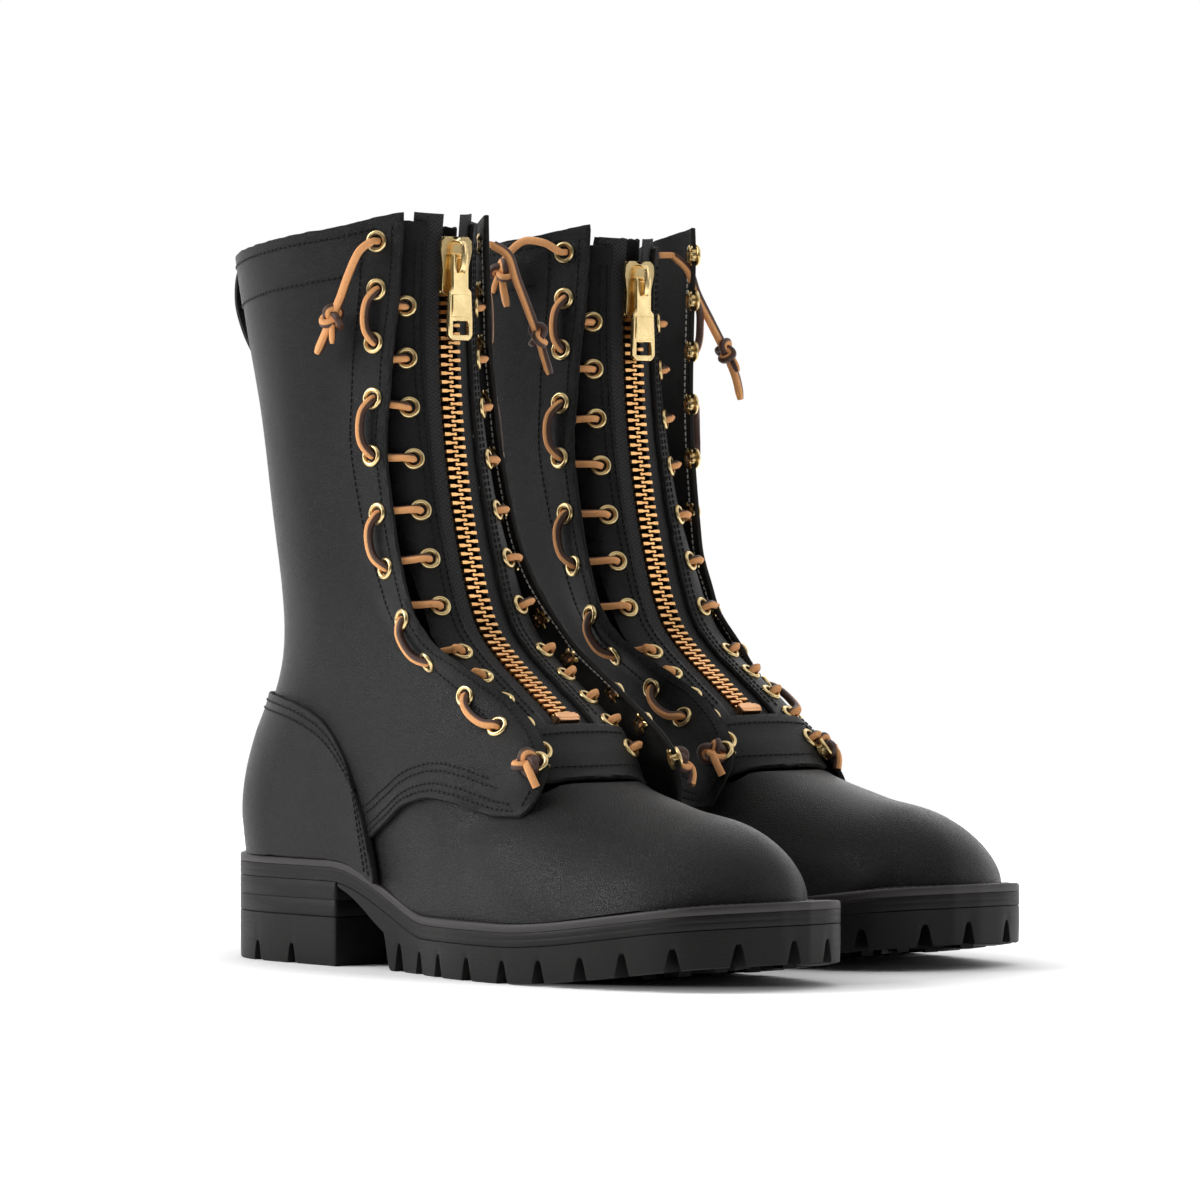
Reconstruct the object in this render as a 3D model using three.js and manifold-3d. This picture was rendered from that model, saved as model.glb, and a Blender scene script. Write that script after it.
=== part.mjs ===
// A pair of lace-in zipper fire boots, in millimetres: X towards the toes, Y to the wearer's left, Z up.
// One boot is modelled as the right boot, with its lateral side towards -Y, and the left boot is its mirror.
import * as THREE from "three";
import { mergeVertices } from "three/addons/utils/BufferGeometryUtils.js";
import Module from "manifold-3d";

const wasm = await Module();
wasm.setup();

// ---- Driving dimensions ----------------------------------------------------------------------
const BOOT_SPACING = 134; // between the two boots' mid-planes
const LEFT_STEP_BACK = 45; // how far the left boot stands behind the right one
const LEATHER = 2; // thickness of the oiled leather
const GAP = 0.3; // between solids that touch
const LATERAL = -1;
const MEDIAL = 1;

const SOLE_LENGTH = 311;
const HEEL_BREAST = 89; // where the heel block ends
const HEEL_SEAT = 42; // height of the heel's top face
const TOE_SPRING = 9;

const TRACK_RADIUS = 320; // the zip's upper track is an arc of this radius
const TRACK_WAIST = { x: 109, z: 250 }; // where that arc comes furthest back
const TRACK_CENTRE = { x: TRACK_WAIST.x + TRACK_RADIUS, z: TRACK_WAIST.z };
const ZIP_TOP = 295; // height of the tape's top end
const CHAIN_DEPTH = -3.8; // the chain's middle, measured from the leather reference surface
const CHAIN_WIDTH = 9.4;
const CHAIN_THICK = 3;
const SLIDER_LENGTH = 23;
const SLIDER_TOP = 286;
const INSERT_DROP = { right: 0, left: 5.5 }; // the left boot's zip sits a little lower

// ---- Small helpers ---------------------------------------------------------------------------
const lerp = (a, b, t) => a + (b - a) * t;
const clamp01 = (t) => Math.min(1, Math.max(0, t));
const smooth = (a, b, x) => {
  const t = clamp01((x - a) / (b - a));
  return t * t * (3 - 2 * t);
};

// A smooth curve through points of the mid-plane, as a fine polyline.
function curve(points, steps = 80) {
  return new THREE.SplineCurve(points.map(([x, z]) => new THREE.Vector2(x, z))).getPoints(steps);
}

// A smooth graph through (input, value) points.
function graph(points) {
  const line = curve(points, 120);
  return (input) => {
    const t = Math.min(Math.max(input, line[0].x), line[line.length - 1].x);
    const i = Math.max(1, line.findIndex((p) => p.x >= t));
    const a = line[i - 1];
    const b = line[i];
    return lerp(a.y, b.y, b.x > a.x ? (t - a.x) / (b.x - a.x) : 0);
  };
}

function distanceTo(line, x, z) {
  let best = Infinity;
  for (let i = 1; i < line.length; i++) {
    const a = line[i - 1];
    const dx = line[i].x - a.x;
    const dz = line[i].y - a.y;
    const t = clamp01(((x - a.x) * dx + (z - a.y) * dz) / (dx * dx + dz * dz));
    best = Math.min(best, Math.hypot(x - a.x - dx * t, z - a.y - dz * t));
  }
  return best;
}

// ---- The boot's form -------------------------------------------------------------------------
// An arc about the track's centre, between two heights.
function trackArc(radius, from, to, count) {
  const points = [];
  for (let i = 0; i <= count; i++) {
    const z = lerp(from, to, i / count);
    points.push(new THREE.Vector2(TRACK_CENTRE.x - Math.sqrt(radius ** 2 - (z - TRACK_CENTRE.z) ** 2), z));
  }
  return points;
}

const TOE_CENTRE = { x: 258, z: 69 };
const TOE_TIP = { x: 304, z: 31 };
const TOE_ROUND = 0.84; // under 1 makes the toe boxier than an ellipse
const toePoint = (s) => [
  TOE_CENTRE.x + (TOE_TIP.x - TOE_CENTRE.x) * Math.cos((s * Math.PI) / 2) ** TOE_ROUND,
  TOE_TIP.z + (TOE_CENTRE.z - TOE_TIP.z) * Math.sin((s * Math.PI) / 2) ** TOE_ROUND,
];

// Front line of the leather reference surface: shaft, instep, vamp, toe.
const SHAFT_FRONT = trackArc(TRACK_RADIUS + CHAIN_DEPTH, 304, 146, 60);
const INSTEP = curve([[130.4, 146], [137, 133.5], [149, 122.5], [166, 111], [184, 99], [195, 88], [205, 79.5], [220, 75.5], [240, 72.5], [258, 69]], 70);
const TOE = [];
for (let i = 1; i <= 24; i++) TOE.push(new THREE.Vector2(...toePoint(1 - i / 24)));
const CREST = [...SHAFT_FRONT, ...INSTEP.slice(1), ...TOE];

// Back line of the same surface, heel to collar.
const BACK = curve([[13, 20], [11, 42], [9, 60], [10.5, 76], [15.5, 92], [22, 106], [26.3, 124], [25.8, 146], [20.3, 178], [13.5, 215], [5.5, 250], [-0.7, 282], [-2.5, 305]], 90);

const legHalfWidth = graph([[20, 34], [60, 36], [100, 34.5], [135, 33.5], [170, 34.5], [215, 36.5], [255, 38.5], [304, 40.5]]);
const footHalfWidth = {
  [LATERAL]: graph([[-20, 34], [60, 35.5], [105, 36], [140, 41], [180, 47.5], [215, 50], [250, 49], [285, 46.5], [320, 46]]),
  [MEDIAL]: graph([[-20, 33], [60, 34], [105, 32], [140, 33], [180, 40.5], [215, 45.5], [250, 47], [285, 46], [320, 46]]),
};
const FRONT_ROUND = 2.15; // exponents over 2 square the section up a little
const BACK_ROUND = 2.0;

// The open front of the leg is blunt: half-width of its flat part, and how deep its corners are
// rounded, by X minus Z, which grows steadily down the shaft and along the instep.
const bluntWidth = graph([[-210, 13], [-177, 14.5], [-140, 17], [-101, 20], [-60, 22.5], [-22, 26], [20, 28], [63, 28], [112, 25], [150, 20]]);
const bluntDepth = graph([[-210, 12], [-100, 12], [-22, 8], [63, 6], [150, 8]]);

// How far the section has closed at a given distance from the crest or back line.
function rounding(distance, radius, power) {
  const t = clamp01(1 - distance / radius);
  return (1 - t ** power) ** (1 / power);
}

// Half-width of the leather reference surface at a point of the mid-plane.
function halfWidth(x, z, side) {
  const leg = smooth(55, 135, z - 0.15 * Math.max(0, x - 110));
  const width = lerp(footHalfWidth[side](x), legHalfWidth(z), leg);
  const q = x - z;
  const toCrest = distanceTo(CREST, x, z);
  const blunt = bluntWidth(q);
  const flare = Math.sin((Math.PI / 2) * clamp01(toCrest / 62)) ** 1.15;
  const open = blunt * rounding(toCrest, bluntDepth(q), 2.2) + (width - blunt) * flare;
  const closed = width * rounding(toCrest, 41, FRONT_ROUND);
  const back = rounding(distanceTo(BACK, x, z), lerp(36, 50, leg), BACK_ROUND);
  return lerp(open, closed, smooth(108, 150, q)) * back;
}

const surfacePoint = (x, z, side) => new THREE.Vector3(x, side * halfWidth(x, z, side), z);

// Place and outward direction on the crest, by height on the shaft and by X on the instep.
function crestFrame(t) {
  const s = clamp01(t) * (CREST.length - 1);
  const i = Math.min(CREST.length - 2, Math.floor(s));
  const at = CREST[i].clone().lerp(CREST[i + 1], s - i);
  const a = CREST[Math.max(0, i - 1)];
  const b = CREST[Math.min(CREST.length - 1, i + 2)];
  const along = b.clone().sub(a).normalize();
  return { at, along, out: new THREE.Vector2(-along.y, along.x) };
}
const crestAtHeight = (z) => CREST.findIndex((p) => p.y <= z) / (CREST.length - 1);
const crestAtX = (x) => CREST.findIndex((p, i) => i > 60 && p.x >= x) / (CREST.length - 1);

// A point of the reference surface reached from the crest by going sideways to a given Y.
function frontPoint(t, y) {
  const { at, out } = crestFrame(t);
  const side = y < 0 ? LATERAL : MEDIAL;
  let low = 0;
  let high = 45;
  for (let i = 0; i < 22; i++) {
    const middle = (low + high) / 2;
    const wide = halfWidth(at.x - out.x * middle, at.y - out.y * middle, side);
    if (wide < Math.abs(y)) low = middle;
    else high = middle;
  }
  return new THREE.Vector3(at.x - out.x * low, y, at.y - out.y * low);
}

// A point of the reference surface well away from the crest, moved out along its normal.
function skinPoint(x, z, side, lift) {
  const step = 0.5;
  const slopeX = (halfWidth(x + step, z, side) - halfWidth(x - step, z, side)) / (2 * step);
  const slopeZ = (halfWidth(x, z + step, side) - halfWidth(x, z - step, side)) / (2 * step);
  const normal = new THREE.Vector3(-slopeX, side, -slopeZ).normalize();
  return surfacePoint(x, z, side).addScaledVector(normal, lift);
}

// ---- Meshes ----------------------------------------------------------------------------------
function geometryOf(positions, triangles) {
  const made = new THREE.BufferGeometry();
  made.setAttribute("position", new THREE.BufferAttribute(new Float32Array(positions.flat()), 3));
  made.setIndex(triangles);
  return made;
}

// A closed slab between two grids of points with the same rows and columns.
function slab(outer, inner) {
  const rows = outer.length;
  const columns = outer[0].length;
  const positions = [...outer.flat(), ...inner.flat()].map((p) => [p.x, p.y, p.z]);
  const at = (layer, r, c) => layer * rows * columns + r * columns + c;
  const triangles = [];
  const quad = (a, b, c, d) => triangles.push(a, b, c, a, c, d);
  for (let r = 0; r < rows - 1; r++) {
    for (let c = 0; c < columns - 1; c++) {
      quad(at(0, r, c), at(0, r, c + 1), at(0, r + 1, c + 1), at(0, r + 1, c));
      quad(at(1, r, c), at(1, r + 1, c), at(1, r + 1, c + 1), at(1, r, c + 1));
    }
  }
  for (let r = 0; r < rows - 1; r++) {
    quad(at(0, r, 0), at(0, r + 1, 0), at(1, r + 1, 0), at(1, r, 0));
    quad(at(0, r, columns - 1), at(1, r, columns - 1), at(1, r + 1, columns - 1), at(0, r + 1, columns - 1));
  }
  for (let c = 0; c < columns - 1; c++) {
    quad(at(0, 0, c), at(1, 0, c), at(1, 0, c + 1), at(0, 0, c + 1));
    quad(at(0, rows - 1, c), at(0, rows - 1, c + 1), at(1, rows - 1, c + 1), at(1, rows - 1, c));
  }
  return outward(geometryOf(positions, triangles));
}

function signedVolume(geometry) {
  const p = geometry.attributes.position;
  const index = geometry.index.array;
  const [a, b, c] = [new THREE.Vector3(), new THREE.Vector3(), new THREE.Vector3()];
  let sum = 0;
  for (let i = 0; i < index.length; i += 3) {
    a.fromBufferAttribute(p, index[i]);
    b.fromBufferAttribute(p, index[i + 1]);
    c.fromBufferAttribute(p, index[i + 2]);
    sum += a.dot(b.clone().cross(c)) / 6;
  }
  return sum;
}

function outward(geometry) {
  if (signedVolume(geometry) < 0) geometry.index.array.reverse();
  return geometry;
}

// The unit normals of a grid of points, pointing away from the boot's middle.
function gridNormals(grid, side) {
  const rows = grid.length;
  const columns = grid[0].length;
  return grid.map((row, r) =>
    row.map((point, c) => {
      const up = grid[Math.min(rows - 1, r + 1)][c].clone().sub(grid[Math.max(0, r - 1)][c]);
      const over = row[Math.min(columns - 1, c + 1)].clone().sub(row[Math.max(0, c - 1)]);
      const normal = up.cross(over).normalize();
      if (normal.lengthSq() < 0.5) normal.set(0.1, 0, 1).normalize();
      if (Math.abs(point.y) < 0.6) normal.setY(0).normalize();
      const outwards = new THREE.Vector3(point.x > 90 ? 0.4 : -0.4, side, 0.4);
      return normal.dot(outwards) < 0 ? normal.negate() : normal;
    }),
  );
}

// A leather panel on one side of the boot: region(v, u) gives (x, z) in the mid-plane, and whether
// the point lies on the seam between the two sides.
function panel(region, side, from, to, rows, columns, seam = 0) {
  const middle = [];
  for (let r = 0; r <= rows; r++) {
    const line = [];
    for (let c = 0; c <= columns; c++) {
      const [x, z, seamed] = region(r / rows, c / columns);
      const point = surfacePoint(x, z, side);
      if (seamed) point.y = side * seam;
      line.push(point);
    }
    middle.push(line);
  }
  const normals = gridNormals(middle, side);
  const lifted = (lift) =>
    middle.map((row, r) => row.map((p, c) => p.clone().addScaledVector(normals[r][c], lift)));
  return slab(lifted(to), lifted(from));
}

// A slab between two distances from a grid of points that faces forwards and up.
function shell(middle, low, high) {
  const [rows, columns] = [middle.length - 1, middle[0].length - 1];
  const normals = middle.map((row, r) =>
    row.map((point, c) => {
      const up = middle[Math.min(rows, r + 1)][c].clone().sub(middle[Math.max(0, r - 1)][c]);
      const over = row[Math.min(columns, c + 1)].clone().sub(row[Math.max(0, c - 1)]);
      const normal = up.cross(over).normalize();
      return normal.x + normal.z + normal.y * Math.sign(point.y) < 0 ? normal.negate() : normal;
    }),
  );
  const lifted = (lift) =>
    middle.map((row, r) => row.map((p, c) => p.clone().addScaledVector(normals[r][c], lift)));
  return slab(lifted(high), lifted(low));
}

// A strip over the front of the boot, between two stretches of the crest and two edges in Y.
function strip(fromT, toT, yFrom, yTo, low, high, rows, columns) {
  const middle = [];
  for (let r = 0; r <= rows; r++) {
    const [a, b] = [yFrom, yTo].map((y) => (typeof y === "function" ? y(r / rows) : y));
    const line = [];
    for (let c = 0; c <= columns; c++) line.push(frontPoint(lerp(fromT, toT, r / rows), lerp(a, b, c / columns)));
    middle.push(line);
  }
  return shell(middle, low, high);
}

// A Coons patch between four edge functions of the mid-plane that meet at their ends; its start edge
// is the back seam.
function patch(bottom, top, start, end) {
  return (v, u) => {
    const [b, t, s, e] = [bottom(u), top(u), start(v), end(v)];
    const corners = [bottom(0), bottom(1), top(0), top(1)];
    const [x, z] = [0, 1].map(
      (k) =>
        lerp(b[k], t[k], v) + lerp(s[k], e[k], u) -
        lerp(lerp(corners[0][k], corners[1][k], u), lerp(corners[2][k], corners[3][k], u), v),
    );
    return [x, z, u === 0];
  };
}

const along = (points) => {
  const line = new THREE.SplineCurve(points.map(([x, z]) => new THREE.Vector2(x, z)));
  return (t) => line.getPointAt(clamp01(t)).toArray();
};

function solidFrom(geometry) {
  const plain = geometry.clone();
  for (const name of Object.keys(plain.attributes)) if (name !== "position") plain.deleteAttribute(name);
  const merged = mergeVertices(plain, 1e-4);
  return new wasm.Manifold(
    new wasm.Mesh({
      numProp: 3,
      vertProperties: merged.attributes.position.array,
      triVerts: new Uint32Array(merged.index.array),
    }),
  );
}

function geometryFrom(solid) {
  const mesh = solid.getMesh();
  const made = new THREE.BufferGeometry();
  made.setAttribute("position", new THREE.BufferAttribute(new Float32Array(mesh.vertProperties), 3));
  made.setIndex(new THREE.BufferAttribute(new Uint32Array(mesh.triVerts), 1));
  return made;
}

const joined = (...geometries) =>
  geometryFrom(geometries.map(solidFrom).reduce((sum, next) => sum.add(next)));
const cut = (geometry, ...tools) =>
  geometryFrom(tools.map(solidFrom).reduce((rest, tool) => rest.subtract(tool), solidFrom(geometry)));

// ---- Sole ------------------------------------------------------------------------------------
const soleHalfWidth = {
  [LATERAL]: graph([[-3, 4], [0, 6], [4, 18], [12, 28], [24, 35.5], [45, 39.5], [85, 40.5], [130, 42], [174, 53.5], [214, 57], [249, 54], [270, 49.5], [285, 45.5], [296, 40], [303, 32], [308, 20], [311, 5]]),
  [MEDIAL]: graph([[-3, 4], [0, 6], [4, 18], [12, 27.5], [24, 34], [45, 37.5], [85, 37], [130, 34.5], [174, 43.5], [214, 52], [249, 53], [276, 47.5], [290, 42], [299, 35], [306, 25], [311, 9]]),
};
const soleStations = [0, 3, 9, 20, 45, 89, 110, 130, 152, 174, 195, 214, 232, 249, 264, 276, 288, 298, 305, 311];

// Heights of the sole's layers: the welt's top follows the foot down from the heel to the ball.
const weltTop = (x) => lerp(HEEL_SEAT, 22.6, smooth(84, 152, x)) + TOE_SPRING * smooth(205, 330, x) * 1.25;
const toeLift = (x) => TOE_SPRING * smooth(205, 345, x) * 1.3;
const LAYERS = { welt: 3.2, midsole: 5.4 };

// A layer of the sole, between two heights that change along X.
function layer(from, to, bottom, top, inset = 0) {
  const stations = [from, ...soleStations.filter((x) => x > from + 1 && x < to - 1), to];
  const ring = (height) =>
    stations.map((x) => {
      const y = (side) => side * Math.max(2, soleHalfWidth[side](x) - inset);
      const z = height(x);
      return [new THREE.Vector3(x, y(LATERAL), z), new THREE.Vector3(x, (y(LATERAL) + y(MEDIAL)) / 2, z), new THREE.Vector3(x, y(MEDIAL), z)];
    });
  return slab(ring(top), ring(bottom));
}

// A tread block with its outer face on the sole's edge.
function treadBlock(xFrom, xTo, yFrom, yTo, bottom, top) {
  const corners = (height) => [
    [new THREE.Vector3(xFrom, yFrom(xFrom), height(xFrom)), new THREE.Vector3(xFrom, yTo(xFrom), height(xFrom))],
    [new THREE.Vector3(xTo, yFrom(xTo), height(xTo)), new THREE.Vector3(xTo, yTo(xTo), height(xTo))],
  ];
  return slab(corners(top), corners(bottom));
}

const LUG_DEPTH = 7.5;
const lugEnds = [[122, 132], [136, 148], [152, 165], [170, 184], [189, 204], [209, 224], [229, 243], [248, 261], [266, 277], [281, 290]];
const centreLugs = [[158, 172], [178, 192], [198, 213], [219, 234], [240, 254], [260, 274]];

function outsole() {
  const plateTop = (x) => weltTop(x) - LAYERS.welt - LAYERS.midsole - 2 * GAP;
  const plateBottom = (x) => Math.min(plateTop(x) - 3.5, toeLift(x) + LUG_DEPTH + Math.max(0, 132 - x) * 0.28);
  const parts = [layer(HEEL_BREAST + 22, SOLE_LENGTH, plateBottom, plateTop)];
  const rim = (side) => (x) => side * (soleHalfWidth[side](x) - 0.6);
  const lugTop = (x) => plateBottom(x) + 1;
  for (const [a, b] of lugEnds) {
    for (const side of [LATERAL, MEDIAL]) {
      const inner = (x) => side * Math.max(6, soleHalfWidth[side](x) - 27);
      parts.push(treadBlock(a, b, rim(side), inner, toeLift, lugTop));
    }
  }
  for (const [a, b] of centreLugs) parts.push(treadBlock(a, b, () => -11, () => 11, toeLift, lugTop));
  const nose = (side) => (x) => side * (soleHalfWidth[side](x) - 0.8);
  parts.push(treadBlock(296, 306, nose(LATERAL), nose(MEDIAL), toeLift, lugTop));
  return joined(...parts);
}

const HEEL_LUG = 7;
const HEEL_LIFT_TOP = 19;
function heelLift() {
  const parts = [layer(0, HEEL_BREAST, () => HEEL_LUG, () => HEEL_LIFT_TOP)];
  const flat = () => 0;
  const top = () => HEEL_LUG + 1;
  const rim = (side) => (x) => side * (soleHalfWidth[side](x) - 0.6);
  for (const [a, b] of [[14, 34], [40, 58], [64, HEEL_BREAST - 5]]) {
    for (const side of [LATERAL, MEDIAL]) {
      parts.push(treadBlock(a, b, rim(side), () => side * 13, flat, top));
    }
  }
  parts.push(treadBlock(1.5, 10, rim(LATERAL), rim(MEDIAL), flat, top));
  parts.push(treadBlock(16, HEEL_BREAST - 8, () => -8, () => 8, flat, top));
  return joined(...parts);
}

function heelBase() {
  const top = (x) => weltTop(x) - LAYERS.welt - LAYERS.midsole - 2 * GAP;
  return layer(0, HEEL_BREAST, () => HEEL_LIFT_TOP + GAP, top);
}

const midsole = () =>
  layer(0, SOLE_LENGTH, (x) => weltTop(x) - LAYERS.welt - LAYERS.midsole - GAP, (x) => weltTop(x) - LAYERS.welt - GAP);

const welt = () => layer(0, SOLE_LENGTH, (x) => weltTop(x) - LAYERS.welt, weltTop, 0.3);

const insole = () => layer(18, 291, (x) => weltTop(x) + 1.6, (x) => weltTop(x) + 4.6, 15);

// A flat steel strip let into the cork between the welt and the insole, under the arch.
function shank() {
  const parts = (height) =>
    [52, 89, 110, 130, 152, 170].map((x) => [
      new THREE.Vector3(x, -9, weltTop(x) + height),
      new THREE.Vector3(x, 9, weltTop(x) + height),
    ]);
  return slab(parts(1.3), parts(0.2));
}

// ---- Upper -----------------------------------------------------------------------------------
// Distances of each layer's inner face from the leather reference surface.
const OFFSET = { toeBox: -5.2, panel: -3, stiffener: -0.4, vamp: 0, quarter: 3.2, counter: 6.6 };
const ABOVE_WELT = 1.3;
const cosine = (u) => 1 - Math.cos((u * Math.PI) / 2);

const topline = (x) => 278 + 15 * clamp01((x + 4) / 108) ** 1.1;
const QUARTER_FRONT = [[105.8, 297], [104, 280], [102.6, 255], [103.6, 225], [107.5, 195], [114.5, 168], [124.5, 144], [140, 124.5], [160, 111], [180, 97.5], [192, 84], [200, 71], [197.5, 59.5]];
const QUARTER_FOOT = [[10.4, 46], [60, 46], [100, 48], [121, 57], [134, 64], [150, 67.5], [166, 66.5], [183, 63], [197.5, 59.5]];
const backX = (z) => BACK[BACK.findIndex((p) => p.y >= z)].x;

function quarter(side) {
  const foot = along(QUARTER_FOOT);
  const front = along([...QUARTER_FRONT].reverse());
  const region = patch(
    (u) => foot(cosine(u) * 0.7 + u * 0.3),
    (u) => {
      const x = lerp(backX(278), 105.8, cosine(u) * 0.7 + u * 0.3);
      return [x, u > 0.999 ? 297 : topline(x)];
    },
    (v) => [backX(lerp(46, 278, v)), lerp(46, 278, v)],
    (v) => front(v),
  );
  return panel(region, side, OFFSET.quarter, OFFSET.quarter + LEATHER, 13, 11, GAP);
}

const COUNTER_TOP = [[16.5, 104], [36, 104.5], [60, 102], [80, 94.5], [94, 82], [101, 71]];
const COUNTER_FRONT = [[116, 34], [112, 47], [107, 60], [101, 71]];
function counterHalf(side, low, high, shrink) {
  const floor = (x) => weltTop(x) + ABOVE_WELT;
  const top = along(COUNTER_TOP.map(([x, z]) => [x - shrink * smooth(60, 101, x), z - shrink]));
  const front = along(
    COUNTER_FRONT.map(([x, z], i) => [x - shrink, i ? z - shrink * smooth(34, 71, z) : floor(x - shrink)]),
  );
  const region = patch(
    (u) => {
      const x = lerp(backX(floor(0)), front(0)[0], cosine(u) * 0.6 + u * 0.4);
      return [x, floor(x)];
    },
    (u) => top(cosine(u) * 0.6 + u * 0.4),
    (v) => [backX(lerp(floor(0), 104 - shrink, v)), lerp(floor(0), 104 - shrink, v)],
    (v) => front(v),
  );
  return panel(region, side, low, high, shrink ? 3 : 4, shrink ? 6 : 8, -GAP);
}
const wrapped = (make) => joined(make(LATERAL), make(MEDIAL));
const heelCounter = () => wrapped((side) => counterHalf(side, OFFSET.counter, OFFSET.counter + LEATHER, 0));
const counterStiffener = () => wrapped((side) => counterHalf(side, OFFSET.stiffener, OFFSET.stiffener + 1.8, 16));

// Height of the toe's ridge, by X.
const toeRidge = graph([...CREST].filter((p) => p.x > 226).map((p) => [p.x, p.y]));

// The vamp's top edge: open at the throat, and closed over the toes.
const crestHeight = graph([...INSTEP.filter((p, i) => i % 6 === 0).map((p) => [p.x, p.y]), [TOE_CENTRE.x, TOE_CENTRE.z]]);
const vampTop = (x) => lerp(Math.min(69, 60 + (x - 100) * 0.35), crestHeight(x), smooth(199, 208, x));

// One half of a shell over the forefoot, from the sole up to the vamp's top edge.
function forefootHalf(side, low, high, from, rows) {
  const columns = 5;
  const region = (v, u) => {
    const turn = clamp01((u - 0.55) / 0.45);
    const x = u < 0.55 ? lerp(from, TOE_CENTRE.x, u / 0.55) : lerp(TOE_CENTRE.x, TOE_TIP.x, Math.sin((turn * Math.PI) / 2));
    const foot = weltTop(x) + ABOVE_WELT - Math.min(0, low);
    const [topX, topZ] = u < 0.55 ? [x, vampTop(x)] : toePoint(lerp(1, 0.5, turn));
    const run = Math.cos((v * Math.PI) / 2) ** TOE_ROUND;
    const rise = Math.sin((v * Math.PI) / 2) ** TOE_ROUND;
    return [topX + (x - topX) * run, lerp(foot, topZ, rise), (v === 1 && x > 207) || u === 1];
  };
  return panel(region, side, low, high, columns, rows, -GAP);
}
const vamp = () => wrapped((side) => forefootHalf(side, OFFSET.vamp, OFFSET.vamp + LEATHER, 104, 15));

// The stiffener over the toes, from welt to welt in sections across the boot.
function toeBox() {
  const sections = [];
  for (const x of [237, 248, 259, 270, 280, 288, 294]) {
    const line = [];
    for (let c = 0; c <= 12; c++) {
      const rise = Math.sin((Math.PI * c) / 12) ** TOE_ROUND;
      const z = lerp(weltTop(x) + ABOVE_WELT - OFFSET.toeBox, toeRidge(x), rise);
      const side = c < 6 ? LATERAL : MEDIAL;
      line.push(new THREE.Vector3(x, c === 6 ? 0 : side * halfWidth(x, z, side), z));
    }
    sections.push(line);
  }
  return shell(sections, OFFSET.toeBox, OFFSET.toeBox + 1.8);
}

// A strip sewn over the quarters' back seam, and the pull loop above it.
function backstay() {
  const rows = 10;
  const grid = (lift) => {
    const lines = [];
    for (let r = 0; r <= rows; r++) {
      const z = lerp(110, 272, r / rows);
      const x = backX(z) - lift;
      const half = 9;
      lines.push([-half, 0, half].map((y) => new THREE.Vector3(x + (y ? 0.9 : 0), y, z)));
    }
    return lines;
  };
  return slab(grid(OFFSET.counter + 1.6), grid(OFFSET.counter));
}

function pullLoop() {
  const width = 22;
  const x0 = backX(262) - OFFSET.quarter - LEATHER - 2.2;
  const outline = new THREE.Shape();
  outline.moveTo(x0 - 0.2, 281);
  outline.bezierCurveTo(x0 - 12, 281, x0 - 13, 262, x0 - 1.5, 243);
  outline.lineTo(x0, 245);
  outline.bezierCurveTo(x0 - 9.8, 262, x0 - 9, 278, x0 - 0.2, 278.4);
  outline.closePath();
  const made = new THREE.ExtrudeGeometry(outline, { depth: width, bevelEnabled: false, curveSegments: 7 });
  return made.rotateX(Math.PI / 2).translate(0, width / 2, 0);
}

function tongue() {
  const edge = (r) => lerp(19, 24, r);
  return strip(crestAtHeight(289), crestAtX(190), (r) => -edge(r), edge, -10.9, -8.9, 14, 6);
}

// ---- Zip insert ------------------------------------------------------------------------------
const ZIP_END = crestAtX(184);
const INSERT_TOP = (drop) => crestAtHeight(291 - drop);

const zipPanel = (side, drop) =>
  strip(INSERT_TOP(drop), crestAtX(187), side * 9.5, (r) => side * lerp(21, 27, r), OFFSET.panel, OFFSET.panel + 1.8, 14, 3);

const zipTape = (side, drop) =>
  strip(crestAtHeight(ZIP_TOP - drop), ZIP_END, side * (CHAIN_WIDTH / 2 + 1.4), side * 14, CHAIN_DEPTH - 0.35, CHAIN_DEPTH + 0.35, 14, 2);

// The teeth's row along one edge, as one flat strip; the middle stays open for the slider's wedge.
const zipTeeth = (side, drop) =>
  strip(crestAtHeight(SLIDER_TOP - 4 - drop), ZIP_END, side * 1.2, (side * CHAIN_WIDTH) / 2, CHAIN_DEPTH - CHAIN_THICK / 2, CHAIN_DEPTH + CHAIN_THICK / 2, 18, 1);

const zipBottomStop = () =>
  strip(ZIP_END + 0.004, ZIP_END + 0.022, -CHAIN_WIDTH / 2, CHAIN_WIDTH / 2, CHAIN_DEPTH - 2, CHAIN_DEPTH + 2.2, 1, 1);

const zipBaseTab = () => strip(crestAtX(190), crestAtX(201), -22, 22, -0.3, 1.7, 3, 6);

// The slider at the top of the track, in a frame with X outward, Y across and Z up the track.
const trackAngle = (drop) => Math.asin((SLIDER_TOP - drop - SLIDER_LENGTH / 2 - TRACK_CENTRE.z) / TRACK_RADIUS);
function onTrack(geometry, drop) {
  const angle = trackAngle(drop);
  return geometry
    .rotateY(angle)
    .translate(TRACK_CENTRE.x - TRACK_RADIUS * Math.cos(angle), 0, TRACK_CENTRE.z + TRACK_RADIUS * Math.sin(angle));
}

const SLIDER = { shoulder: 15.6, tail: 12.4, plate: 1.7, channel: CHAIN_THICK / 2 + 0.8, bar: { x: 1.9, z: 4 } };
const PULL = { length: 33, width: 12, thick: 1.8 };
const box = (x0, x1, y0, y1, z0, z1) =>
  new THREE.BoxGeometry(x1 - x0, y1 - y0, z1 - z0).translate((x0 + x1) / 2, (y0 + y1) / 2, (z0 + z1) / 2);

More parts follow.
